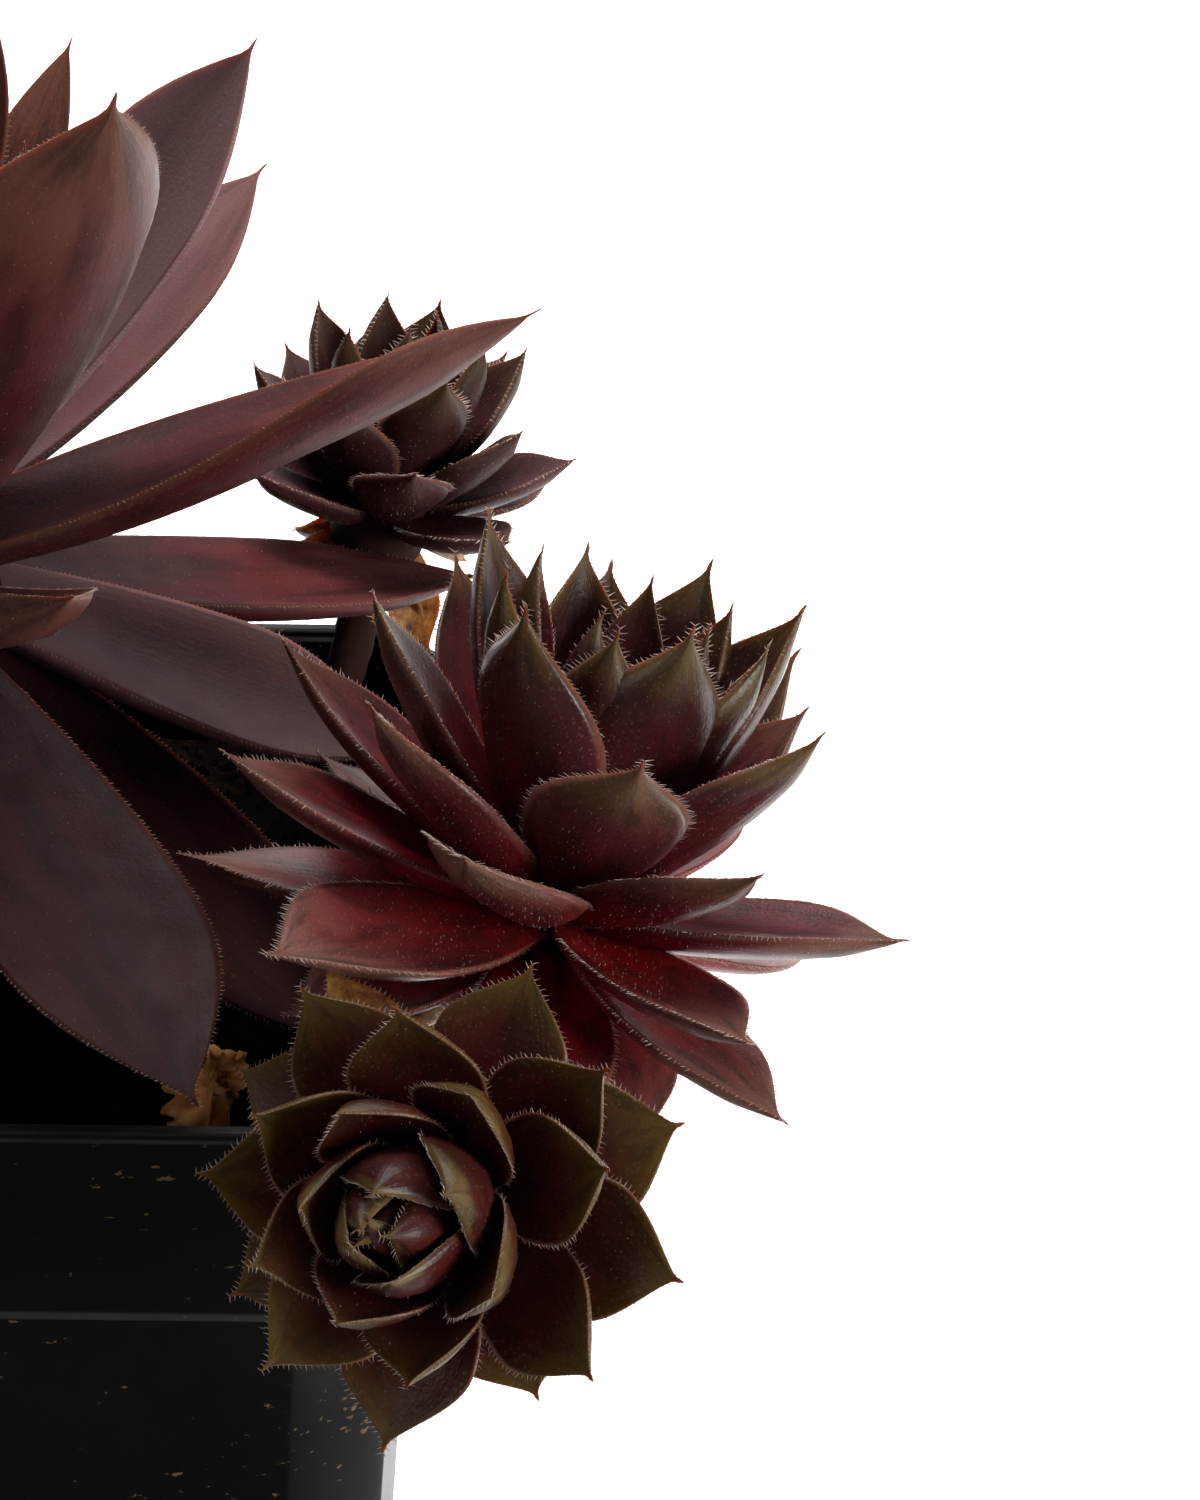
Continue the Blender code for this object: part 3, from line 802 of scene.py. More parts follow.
    # A leaf marked dry is blotched tan and brown all over
    dry = add_node(tree, "ShaderNodeAttribute", attribute_name="dry").outputs["Fac"]
    paper = add_node(
        tree,
        "ShaderNodeTexNoise",
        {"Vector": place, "Scale": 700.0, "Detail": 4.0, "Roughness": 0.7},
    )
    tans = ((0.32, "#4a2a12"), (0.5, "#94622e"), (0.7, "#c29450"))
    paper = add_node(tree, "ShaderNodeValToRGB", {0: paper}, stops=tans)
    skin = add_node(tree, "ShaderNodeMix", {"Factor": dry, "A": skin, "B": paper}, data_type="RGBA")
    tree.links.new(skin.outputs[2], shader.inputs["Base Color"])
    gloss = add_node(tree, "ShaderNodeTexNoise", {"Vector": place, "Scale": 350.0, "Detail": 3.0})
    rough = add_node(
        tree, "ShaderNodeMath", {0: gloss, 1: 0.24, 2: look.roughness - 0.12}, operation="MULTIPLY_ADD"
    )
    tree.links.new(rough.outputs[0], shader.inputs["Roughness"])
    # Skin cells 0.15 mm across, drawn twice as coarse to show, over the soft ridges of the veins
    cells = add_node(tree, "ShaderNodeTexNoise", {"Vector": place, "Scale": 3000.0, "Detail": 2.0})
    ridges = add_node(tree, "ShaderNodeMath", {0: veins, 1: 0.9, 2: cells}, operation="MULTIPLY_ADD")
    bump = add_node(tree, "ShaderNodeBump", {"Strength": 0.55, "Distance": 0.08 * MM, "Height": ridges})
    tree.links.new(bump.outputs[0], shader.inputs["Normal"])
    # Light from behind glows red through the flesh
    shader.inputs["Subsurface Weight"].default_value = 0.3
    shader.inputs["Subsurface Radius"].default_value = (1.0, 0.16, 0.12)
    shader.inputs["Subsurface Scale"].default_value = 1.2 * MM
    shader.inputs["Specular IOR Level"].default_value = look.gloss
    shader.inputs["IOR"].default_value = 1.42
    return material


def hair_material(colour):
    """Clear glandular hairs: pale, and bright where light comes through them."""
    material, tree, shader = new_material("Houseleek hair")
    place = add_node(tree, "ShaderNodeTexCoord").outputs["Object"]
    patches = add_node(tree, "ShaderNodeTexNoise", {"Vector": place, "Scale": 160.0})
    tone = add_node(
        tree,
        "ShaderNodeMix",
        {"Factor": patches, "A": (*colour, 1), "B": (*linear("#a8776c"), 1)},
        data_type="RGBA",
    )
    tree.links.new(tone.outputs[2], shader.inputs["Base Color"])
    shader.inputs["Roughness"].default_value = 0.45
    shader.inputs["Transmission Weight"].default_value = 0.25
    return material


def bark_material(colour):
    """Runner bark: dry, matt, reddish brown, with lengthwise wrinkles."""
    material, tree, shader = new_material("Runner bark")
    place = add_node(tree, "ShaderNodeTexCoord").outputs["Object"]
    stretched = add_node(tree, "ShaderNodeMapping", {"Vector": place, "Scale": (900.0, 900.0, 160.0)})
    wrinkles = add_node(tree, "ShaderNodeTexNoise", {"Vector": stretched, "Scale": 1.0, "Detail": 5.0})
    tone = add_node(
        tree,
        "ShaderNodeMix",
        {"Factor": wrinkles, "A": (*linear("#2a1712"), 1), "B": (*colour, 1)},
        data_type="RGBA",
    )
    tree.links.new(tone.outputs[2], shader.inputs["Base Color"])
    bump = add_node(tree, "ShaderNodeBump", {"Strength": 0.6, "Distance": 0.2 * MM, "Height": wrinkles})
    tree.links.new(bump.outputs[0], shader.inputs["Normal"])
    shader.inputs["Roughness"].default_value = 0.85
    shader.inputs["Specular IOR Level"].default_value = 0.1
    return material


def dry_material(colour):
    """Withered leaf: papery, blotched tan to dark brown, with a fine fibrous bump."""
    material, tree, shader = new_material("Withered leaf, papery")
    place = add_node(tree, "ShaderNodeTexCoord").outputs["Object"]
    blotch = add_node(
        tree,
        "ShaderNodeTexNoise",
        {"Vector": place, "Scale": 420.0, "Detail": 6.0, "Roughness": 0.65},
    )
    tone = add_node(
        tree,
        "ShaderNodeValToRGB",
        {0: blotch},
        stops=((0.3, "#54300f"), (0.44, "#a2662c"), (0.56, "#c88a48"), (0.72, "#dcb074")),
    )
    tinted = add_node(
        tree, "ShaderNodeMix", {"Factor": 0.3, "A": tone, "B": (*colour, 1)}, data_type="RGBA"
    )
    tree.links.new(tinted.outputs[2], shader.inputs["Base Color"])
    fibres = add_node(tree, "ShaderNodeTexNoise", {"Vector": place, "Scale": 2400.0, "Detail": 3.0})
    bump = add_node(tree, "ShaderNodeBump", {"Strength": 0.7, "Distance": 0.1 * MM, "Height": fibres})
    tree.links.new(bump.outputs[0], shader.inputs["Normal"])
    shader.inputs["Roughness"].default_value = 0.7
    shader.inputs["Subsurface Weight"].default_value = 0.15
    shader.inputs["Subsurface Scale"].default_value = 0.001
    return material


def soil_material(peat, bark):
    """Moist peat, crumbly, with brown fibre in it; it is nearly black partly by its own colour and partly as
    painted shade.
    """
    material, tree, shader = new_material("Peat potting soil")
    place = add_node(tree, "ShaderNodeTexCoord").outputs["Object"]
    lumps = add_node(
        tree,
        "ShaderNodeTexNoise",
        {"Vector": place, "Scale": 700.0, "Detail": 6.0, "Roughness": 0.7},
    )
    fibre = add_node(tree, "ShaderNodeMapRange", {"Value": lumps, 1: 0.52, 2: 0.75, 4: 0.8})
    tone = add_node(
        tree, "ShaderNodeMix", {"Factor": fibre, "A": (*peat, 1), "B": (*bark, 1)}, data_type="RGBA"
    )
    tree.links.new(tone.outputs[2], shader.inputs["Base Color"])
    bump = add_node(tree, "ShaderNodeBump", {"Strength": 0.8, "Distance": 0.3 * MM, "Height": lumps})
    tree.links.new(bump.outputs[0], shader.inputs["Normal"])
    shader.inputs["Roughness"].default_value = 0.95
    shader.inputs["Specular IOR Level"].default_value = 0.0
    return material


def plastic_material(pot):
    """Black polypropylene, injection moulded: satin, lightly scuffed, with painted highlight lines along its
    lip and band edge, and flecks of dried dirt.
    """
    material, tree, shader = new_material("Black polypropylene, moulded")
    place = add_node(tree, "ShaderNodeTexCoord").outputs["Object"]
    haze = add_node(
        tree,
        "ShaderNodeTexNoise",
        {"Vector": place, "Scale": 60.0, "Detail": 6.0, "Roughness": 0.6},
    )
    hazed = add_node(tree, "ShaderNodeMapRange", {"Value": haze, 1: 0.45, 2: 0.8, 4: 0.015})
    # Flecks a quarter of a millimetre high and twice as long, in loose groups
    smear = add_node(tree, "ShaderNodeMapping", {"Vector": place, "Scale": (560.0, 560.0, 1100.0)})
    fleck = add_node(
        tree,
        "ShaderNodeTexNoise",
        {"Vector": smear, "Scale": 1.0, "Detail": 3.0, "Roughness": 0.6},
    )
    group = add_node(tree, "ShaderNodeTexNoise", {"Vector": place, "Scale": 75.0, "Detail": 2.0})
    grouped = add_node(tree, "ShaderNodeMath", {0: group, 1: 0.22, 2: fleck}, operation="MULTIPLY_ADD")
    flecked = add_node(tree, "ShaderNodeMapRange", {"Value": grouped, 1: 0.78, 2: 0.83, 4: 0.85})
    dirt = add_node(tree, "ShaderNodeMath", {0: hazed, 1: flecked}, operation="MAXIMUM")
    # Painted highlight lines, a third of a millimetre wide at the lip and nearly one where the band ends
    level = add_node(tree, "ShaderNodeSeparateXYZ", {0: place}).outputs["Z"]
    tone = (*pot.plastic, 1)
    band_foot = pot.height - pot.band_height
    for edge, reach in ((pot.height - 0.1 * MM, 0.3), (pot.height - MM, 0.3), (band_foot + 0.6 * MM, 0.55)):
        away = add_node(tree, "ShaderNodeMath", {0: level, 1: edge}, operation="SUBTRACT")
        away = add_node(tree, "ShaderNodeMath", {0: away}, operation="ABSOLUTE")
        highlit = add_node(
            tree,
            "ShaderNodeMapRange",
            {"Value": away, 1: reach * MM, 2: 0.4 * reach * MM, 4: 1.2},
        )
        highlit = add_node(tree, "ShaderNodeMath", {0: highlit, 1: group}, operation="MULTIPLY")
        tone = add_node(
            tree, "ShaderNodeMix", {"Factor": highlit, "A": tone, "B": (*pot.edge_highlight, 1)}, data_type="RGBA"
        ).outputs[2]
    tone = add_node(tree, "ShaderNodeMix", {"Factor": dirt, "A": tone, "B": (*pot.dust, 1)}, data_type="RGBA")
    tree.links.new(tone.outputs[2], shader.inputs["Base Color"])
    rough = add_node(tree, "ShaderNodeMath", {0: dirt, 1: 0.5, 2: 0.3}, operation="MULTIPLY_ADD")
    tree.links.new(rough.outputs[0], shader.inputs["Roughness"])
    streak = add_node(tree, "ShaderNodeMapping", {"Vector": place, "Scale": (40.0, 40.0, 1500.0)})
    scuffs = add_node(tree, "ShaderNodeTexNoise", {"Vector": streak, "Scale": 1.0, "Detail": 3.0})
    height = add_node(tree, "ShaderNodeMath", {0: flecked, 1: 2.0, 2: scuffs}, operation="MULTIPLY_ADD")
    bump = add_node(tree, "ShaderNodeBump", {"Strength": 0.2, "Distance": 0.05 * MM, "Height": height})
    tree.links.new(bump.outputs[0], shader.inputs["Normal"])
    shader.inputs["IOR"].default_value = 1.49
    shader.inputs["Specular IOR Level"].default_value = 0.08
    return material


def floor_material(colour):
    """Plain matt paper."""
    material, _, shader = new_material("Matt paper")
    shader.inputs["Base Color"].default_value = (*colour, 1)
    shader.inputs["Roughness"].default_value = 0.9
    return material


# Leaves


def rosette_axes(rosette):
    """Matrix whose columns are the rosette's two level directions and its axis."""
    turn = Matrix.Rotation(math.radians(rosette.heading), 3, "Z")
    return turn @ Matrix.Rotation(math.radians(rosette.tilt), 3, "Y")


def leaf_directions(rosette, turn):
    """The way in which a leaf at this turn leaves the rosette's axis, and the axis."""
    axes = rosette_axes(rosette)
    return axes @ Vector((math.cos(turn), math.sin(turn), 0)), axes @ Vector((0, 0, 1))


def half_width(rosette, share):
    """Half the blade's width at a share of its length, as a share of its greatest half width."""
    if share < rosette.widest_at:
        rise = math.sin(math.pi / 2 * share / rosette.widest_at)
        return blend((LEAF_BASE_SHARE, 1), rise)
    fall = min(1.0, (share - rosette.widest_at) / (1 - rosette.widest_at))
    return max(0.0, math.cos(math.pi / 2 * fall**LEAF_TIP_POWER)) ** rosette.sharpness


def blade_thickness(share):
    fullness = max(0.0, math.cos(math.pi / 2 * min(share, 1)))
    return blend((LEAF_TIP_THICKNESS, 1), fullness**LEAF_THINNING_POWER)


def leaf_attributes(rosette, index):
    """What the tree bends one leaf by, drawn in the same order as for its solid."""
    draw = random.Random(1000 * rosette.seed + index)
    age = index / (rosette.count - 1)
    spread = math.sqrt(age)
    trim = rosette.trims.get(index, Trim())
    lean = blend(rosette.lean, age**rosette.lean_power) + draw.uniform(-LEAN_WOBBLE, LEAN_WOBBLE) + trim.lean
    turn = math.degrees(rosette.hand * index * GOLDEN_ANGLE) + rosette.start
    turn = math.radians(turn + draw.uniform(-TURN_WOBBLE, TURN_WOBBLE) + trim.turn)
    curl = math.radians(blend(rosette.curl, spread) + draw.uniform(-CURL_WOBBLE, CURL_WOBBLE))
    length = blend(rosette.length, spread) * draw.uniform(1 - LENGTH_WOBBLE, 1 + LENGTH_WOBBLE) * trim.length
    young = min(1.0, YOUNG_WIDTH + YOUNG_GROWTH * age)
    width = blend(rosette.width, spread) * young * draw.uniform(1 - WIDTH_WOBBLE, 1 + WIDTH_WOBBLE)
    roll = draw.uniform(-ROLL_WOBBLE, ROLL_WOBBLE) * age + trim.roll
    radial, axis = leaf_directions(rosette, turn)
    root = Vector(rosette.base) + axis * rosette.rise * (1 - age)
    root += radial * rosette.girth * blend(LEAF_ROOT, spread)
    thickness = rosette.thickness * (1 - YOUNG_THINNING * (1 - young))
    return {
        "root": root,
        "axis": axis,
        "radial": radial,
        "arc": (math.radians(lean) + curl / 2, -curl, length),
        "blade": (width * trim.width / 2, thickness, blend(LEAF_CUP, spread)),
        "nature": (math.radians(roll), age, draw.random()),
        # Painted shade on this leaf, and painted light where under nought
        "shade": float(rosette.painted_light_and_shade.get(index, 0)),
        "dry": 0.0,
    }


def skirt_attributes(rosette, index):
    """The same for a dry leaf that hangs round the stem under the crown."""
    draw = random.Random(5000 * rosette.seed + index)
    turn = math.radians(rosette.start) + index * GOLDEN_ANGLE + draw.uniform(-SKIRT_TURN, SKIRT_TURN)
    lean, curl = (math.radians(draw.uniform(*span)) for span in (SKIRT_LEAN, SKIRT_CURL))
    width = rosette.width[1] * draw.uniform(*SKIRT_WIDTHS)
    length = (SKIRT_LENGTH + SKIRT_GROWTH * rosette.length[1]) * draw.uniform(*SKIRT_LENGTHS)
    if index == rosette.skirt:
        # The one shred that sticks out behind the living leaves
        turn, lean, curl = (math.radians(angle) for angle in (*rosette.shred[:2], SHRED_CURL))
        length, width = rosette.shred[2:]
    radial, axis = leaf_directions(rosette, turn)
    return {
        "root": Vector(rosette.base) + (radial - SKIRT_DROP * axis) * rosette.girth * SKIRT_GIRTH,
        "axis": axis,
        "radial": radial,
        "arc": (lean + curl / 2, -curl, length),
        "blade": (width / 2, SKIRT_THINNESS * rosette.thickness, draw.uniform(*SKIRT_CUP)),
        "nature": (math.radians(draw.uniform(-SKIRT_ROLL, SKIRT_ROLL)), 1.0, draw.random()),
        # No painted shade on the dry leaves
        "shade": 0.0,
        "dry": 1.0,
    }


def set_attribute(mesh, name, values):
    """Stores one number or vector for each point of a mesh."""
    vector = not isinstance(values[0], float)
    layer = mesh.attributes.new(name, "FLOAT_VECTOR" if vector else "FLOAT", "POINT")
    flat = [c for value in values for c in value] if vector else values
    layer.data.foreach_set("vector" if vector else "value", flat)


def leaf_blank(rosette):
    """A closed unit leaf whose points know their place across, along and through the blade."""
    shares = [1 - (1 - k / BLANK_ROWS) ** BLANK_CROWDING for k in range(BLANK_ROWS)] + [1.0, SPINE_SHARE]
    bm = bmesh.new()
    sections, forms, margins = [], [], []
    rings = []
    for share in shares:
        ring = []
        width = max(half_width(rosette, share), SPINE_WIDTH)
        left = (1 - min(share, 1)) / SPINE_START
        thick = blade_thickness(share) * min(1.0, SPINE_THINNING + left**LEAF_THINNING_POWER)
        if share == SPINE_SHARE:
            width, thick = SPINE_WIDTH / 4, SPINE_THINNING / 3
        for k in range(BLANK_POINTS):
            angle = 2 * math.pi * k / BLANK_POINTS
            across, through = math.cos(angle), math.sin(angle)
            through *= UPPER_SWELL if through > 0 else 1
            ring.append(Vector((across * width, share, through * thick)))
            sections.append((across, share, through))
            forms.append((width, thick, 0))
            margins.append(1.0 if k in (0, BLANK_POINTS // 2) else 0.0)
        rings.append(ring)
    lofted(bm, rings)
    for share, row in ((shares[0], 0), (shares[-1], -1)):
        sections.append((0, share, END_DEPTH))
        forms.append((*forms[row * BLANK_POINTS][:2], 0))
        margins.append(0.0)
    bmesh.ops.recalc_face_normals(bm, faces=bm.faces[:])
    # The tree's bend mirrors the blank, which turns its faces outwards again
    bmesh.ops.reverse_faces(bm, faces=bm.faces[:])
    mesh = mesh_from(bm, "leaf_blank")
    set_attribute(mesh, "section", sections)
    set_attribute(mesh, "form", forms)
    set_attribute(mesh, "margin", margins)
    return link_object("leaf_blank", mesh)


# How a leaf is bent, a sum in each row: its name, its operation, and numbers or names from before it
LEAF_SUMS = (
    # Across the blade: its width here, the cup that lifts its margins, and its thickness
    ("width", "MULTIPLY", "form X", "blade X"),
    ("across", "MULTIPLY", "section X", "width"),
    ("square", "MULTIPLY", "section X", "section X"),
    ("cup", "MULTIPLY", "width", "blade Z"),
    ("lift", "MULTIPLY", "square", "cup"),
    ("flesh", "MULTIPLY", "section Z", "form Y"),
    ("thick", "MULTIPLY", "flesh", "blade Y"),
    ("even", "ADD", "lift", "thick"),
    # A slow swell that grows towards the tip
    ("centred", "SUBTRACT", "swell noise", 0.5),
    ("waves", "MULTIPLY", "section Y", "waviness"),
    ("swell", "MULTIPLY", "centred", "waves"),
    ("height", "ADD", "even", "swell"),
    # Along the blade: its middle is an arc from the root
    ("lean", "MULTIPLY_ADD", "arc Y", "section Y", "arc X"),
    ("sine", "SINE", "lean"),
    ("cosine", "COSINE", "lean"),
    ("reach", "DIVIDE", "arc Z", "arc Y"),
    ("root sine", "SINE", "arc X"),
    ("rise", "SUBTRACT", "sine", "root sine"),
    ("forward", "MULTIPLY", "rise", "reach"),
    ("root cosine", "COSINE", "arc X"),
    ("fall", "SUBTRACT", "root cosine", "cosine"),
    ("outward", "MULTIPLY", "fall", "reach"),
    ("backward", "MULTIPLY", "cosine", -1.0),
    ("roll", "MULTIPLY", "nature X", "section Y"),
)


def rosette_tree():
    """Copies the blank to every leaf's root, then bends, cups and rolls each copy by its own numbers."""
    tree, given, identifiers = new_tree(
        "houseleek rosette",
        (("Blank", "NodeSocketObject"), ("Waviness", "NodeSocketFloat"), ("Skin", "NodeSocketMaterial")),
    )
    stored = {}
    for name in ("section", "form", "arc", "blade", "nature", "root", "axis", "radial"):
        own = {"Name": name}
        stored[name] = add_node(tree, "GeometryNodeInputNamedAttribute", own, data_type="FLOAT_VECTOR")
    known = {"waviness": given["Waviness"]}
    for name in ("section", "form", "arc", "blade", "nature"):
        for part in add_node(tree, "ShaderNodeSeparateXYZ", {0: stored[name]}).outputs:
            known[f"{name} {part.name}"] = part
    blank = add_node(tree, "GeometryNodeObjectInfo", {"Object": given["Blank"]})
    copies = add_node(
        tree,
        "GeometryNodeInstanceOnPoints",
        {"Points": given["Geometry"], "Instance": blank.outputs["Geometry"]},
    )
    leaves = add_node(tree, "GeometryNodeRealizeInstances", {"Geometry": copies})
    # The swell's pattern is each leaf's own
    shifted = add_node(
        tree,
        "ShaderNodeVectorMath",
        {0: stored["nature"], 1: (90.0, 0.0, 90.0)},
        operation="MULTIPLY",
    )
    patch = add_node(
        tree,
        "ShaderNodeVectorMath",
        {0: stored["section"], 1: (1.2, 3.2, 0.0)},
        operation="MULTIPLY",
    )
    patch = add_node(tree, "ShaderNodeVectorMath", {0: patch, 1: shifted}, operation="ADD")
    broad = {"Vector": patch, "Scale": 1.0, "Detail": 1.0}
    known["swell noise"] = add_node(tree, "ShaderNodeTexNoise", broad)
    for name, operation, *values in LEAF_SUMS:
        inputs = {k: known.get(value, value) for k, value in enumerate(values)}
        known[name] = add_node(tree, "ShaderNodeMath", inputs, operation=operation)
    middle = add_node(tree, "ShaderNodeCombineXYZ", {"X": known["outward"], "Z": known["forward"]})
    along = add_node(tree, "ShaderNodeCombineXYZ", {"X": known["sine"], "Z": known["cosine"]})
    face = add_node(tree, "ShaderNodeCombineXYZ", {"X": known["backward"], "Z": known["sine"]})
    raised = add_node(tree, "ShaderNodeVectorMath", {0: face, "Scale": known["height"]}, operation="SCALE")
    sideways = add_node(tree, "ShaderNodeCombineXYZ", {"Y": known["across"]})
    offset = add_node(tree, "ShaderNodeVectorMath", {0: raised, 1: sideways}, operation="ADD")
    roll = {"Axis": along, "Angle": known["roll"]}
    rolled = add_node(tree, "ShaderNodeVectorRotate", {"Vector": offset, **roll})
    local = add_node(tree, "ShaderNodeVectorMath", {0: middle, 1: rolled}, operation="ADD")
    facing = add_node(
        tree,
        "FunctionNodeAxesToRotation",
        {"Primary Axis": stored["axis"], "Secondary Axis": stored["radial"]},
        primary_axis="Z",
        secondary_axis="X",
    )
    turned = add_node(tree, "FunctionNodeRotateVector", {"Vector": local, "Rotation": facing})
    placed = add_node(tree, "ShaderNodeVectorMath", {0: turned, 1: stored["root"]}, operation="ADD")
    # A margin hair points outwards and a little towards the tip
    beside = add_node(tree, "ShaderNodeCombineXYZ", {"Y": known["section X"]})
    beside = add_node(tree, "ShaderNodeVectorRotate", {"Vector": beside, **roll})
    ahead = add_node(tree, "ShaderNodeVectorMath", {0: along, "Scale": HAIR_SLANT}, operation="SCALE")
    way = add_node(tree, "ShaderNodeVectorMath", {0: beside, 1: ahead}, operation="ADD")
    way = add_node(tree, "FunctionNodeRotateVector", {"Vector": way, "Rotation": facing})
    marked = add_node(
        tree,
        "GeometryNodeStoreNamedAttribute",
        {"Geometry": leaves, "Name": "hair_way", "Value": way},
        data_type="FLOAT_VECTOR",
    )
    moved = add_node(tree, "GeometryNodeSetPosition", {"Geometry": marked, "Position": placed})
    smooth = add_node(tree, "GeometryNodeSetShadeSmooth", {0: moved})
    skinned = add_node(tree, "GeometryNodeSetMaterial", {"Geometry": smooth, "Material": given["Skin"]})
    add_node(tree, "NodeGroupOutput", {0: skinned})
    return tree, identifiers


def hair_tree():
    """Stands tapered hairs along the leaves' margins and finer ones all over their faces."""
    tree, given, identifiers = new_tree(
        "houseleek hairs",
        (
            ("Hair length", "NodeSocketFloat"),
            ("Hair spacing", "NodeSocketFloat"),
            ("Fuzz length", "NodeSocketFloat"),
            ("Fuzz density", "NodeSocketFloat"),
            ("Seed", "NodeSocketInt"),
            ("Hair", "NodeSocketMaterial"),
        ),
    )
    margin = add_node(tree, "GeometryNodeInputNamedAttribute", {"Name": "margin"}, data_type="FLOAT")
    section = add_node(tree, "GeometryNodeInputNamedAttribute", {"Name": "section"}, data_type="FLOAT_VECTOR")
    share = add_node(tree, "ShaderNodeSeparateXYZ", {0: section}).outputs["Y"]
    on_margin = add_node(tree, "FunctionNodeCompare", {"A": margin, "B": 0.75}, operation="GREATER_THAN")
    edges = add_node(tree, "GeometryNodeMeshToCurve", {"Mesh": given["Geometry"], "Selection": on_margin})
    stands = add_node(
        tree,
        "GeometryNodeResampleCurve",
        {"Curve": edges, "Length": given["Hair spacing"]},
        mode="LENGTH",
    )
    way = add_node(tree, "GeometryNodeInputNamedAttribute", {"Name": "hair_way"}, data_type="FLOAT_VECTOR")
    stray = add_node(
        tree,
        "FunctionNodeRandomValue",
        {"Min": [-HAIR_STRAY] * 3, "Max": [HAIR_STRAY] * 3, "Seed": given["Seed"]},
        data_type="FLOAT_VECTOR",
    )
    strayed = add_node(tree, "ShaderNodeVectorMath", {0: way, 1: stray}, operation="ADD")
    pointed = add_node(tree, "FunctionNodeAlignRotationToVector", {"Vector": strayed}, axis="Z")
    grown_out = add_node(tree, "FunctionNodeCompare", {"A": share, "B": HAIR_START}, operation="GREATER_THAN")
    span = {2: HAIR_SIZES[0], 3: HAIR_SIZES[1], "Seed": given["Seed"]}
    part = add_node(tree, "FunctionNodeRandomValue", span)
    size = add_node(tree, "ShaderNodeMath", {0: part, 1: given["Hair length"]}, operation="MULTIPLY")
    hair = add_node(
        tree,
        "GeometryNodeMeshCone",
        {"Vertices": 4, "Radius Top": HAIR_RADII[1], "Radius Bottom": HAIR_RADII[0], "Depth": 1.0},
    )
    cilia = add_node(
        tree,
        "GeometryNodeInstanceOnPoints",
        {"Points": stands, "Selection": grown_out, "Instance": hair, "Rotation": pointed, "Scale": size},
    )
    spots = add_node(
        tree,
        "GeometryNodeDistributePointsOnFaces",
        {"Mesh": given["Geometry"], "Density": given["Fuzz density"], "Seed": given["Seed"]},
    )
    fuzz_span = {2: FUZZ_SIZES[0], 3: FUZZ_SIZES[1], "Seed": given["Seed"]}
    fuzz_part = add_node(tree, "FunctionNodeRandomValue", fuzz_span)
    fuzz_size = add_node(
        tree,
        "ShaderNodeMath",
        {0: fuzz_part, 1: given["Fuzz length"]},
        operation="MULTIPLY",
    )
    fine = add_node(
        tree,
        "GeometryNodeMeshCone",
        {"Vertices": 3, "Radius Top": FUZZ_RADII[1], "Radius Bottom": FUZZ_RADII[0], "Depth": 1.0},
        fill_type="NONE",
    )
    fuzz = add_node(
        tree,
        "GeometryNodeInstanceOnPoints",
        {"Points": spots, "Instance": fine, "Rotation": spots.outputs["Rotation"], "Scale": fuzz_size},
    )
    joined = add_node(tree, "GeometryNodeJoinGeometry", {0: cilia})
    tree.links.new(fuzz.outputs[0], joined.inputs[0])
    real = add_node(tree, "GeometryNodeRealizeInstances", {"Geometry": joined})
    haired = add_node(tree, "GeometryNodeSetMaterial", {"Geometry": real, "Material": given["Hair"]})
    add_node(tree, "NodeGroupOutput", {0: haired})
    return tree, identifiers


def build_leaves(rosette, tree, identifiers, waviness, skin):
    """Grows all the leaves of one rosette as one piece."""
    leaves = [leaf_attributes(rosette, k) for k in range(rosette.count) if k not in rosette.fallen]
    leaves += [skirt_attributes(rosette, k) for k in range(rosette.skirt + bool(rosette.shred))]
    mesh = bpy.data.meshes.new("roots")
    mesh.from_pydata([leaf["root"] for leaf in leaves], [], [])
    for name in leaves[0]:
        set_attribute(mesh, name, [leaf[name] for leaf in leaves])
    blank = leaf_blank(rosette)
    values = {"Blank": blank, "Waviness": waviness, "Skin": skin}
    piece = grown(link_object("roots", mesh), f"{rosette.name}_leaves", tree, identifiers, values)
    bpy.data.objects.remove(blank, do_unlink=True)
    return piece


# Soil level, stems and withered leaves


def soil_height(x, y):
    """Height of the soil's top, as in its solid: a low mound that a formula ripples."""
    pot, soil = bpy.context.scene.houseleek_pot, bpy.context.scene.houseleek_soil
    half = pot.lip_width / 2
    mound = soil.mound * max(0.0, 1 - (x**2 + y**2) / half**2)
    ripple = soil.ripple * math.sin(x * SOIL_WAVES[0] + 1.3) * math.cos(y * SOIL_WAVES[1] - 0.4)
    return pot.height - soil.depth + mound + ripple


def stem_foot(place):
    return Vector((*place, soil_height(*place) - STEM_HOLE_DEPTH))


def bezier_point(start, bend, end, share):
    return start * (1 - share) ** 2 + bend * 2 * share * (1 - share) + end * share**2


def add_tube(bm, route, radius, sides, roughness):
    """Skins a round tube along a route of points, with old leaf scars standing out from it."""
    rings = []
    across = Vector((1, 0, 0))
    for k, point in enumerate(route):
        along = (route[min(k + 1, len(route) - 1)] - route[max(k - 1, 0)]).normalized()
        across = (across - along * across.dot(along)).normalized()
        up = along.cross(across)
        ring = []
        for side in range(sides):
            angle = 2 * math.pi * side / sides
            way = across * math.cos(angle) + up * math.sin(angle)
            bump = noise.noise((point + way * radius) / (0.9 * radius)) * roughness
            ring.append(point + way * radius * (1 + bump))
        rings.append(ring)
    lofted(bm, rings)


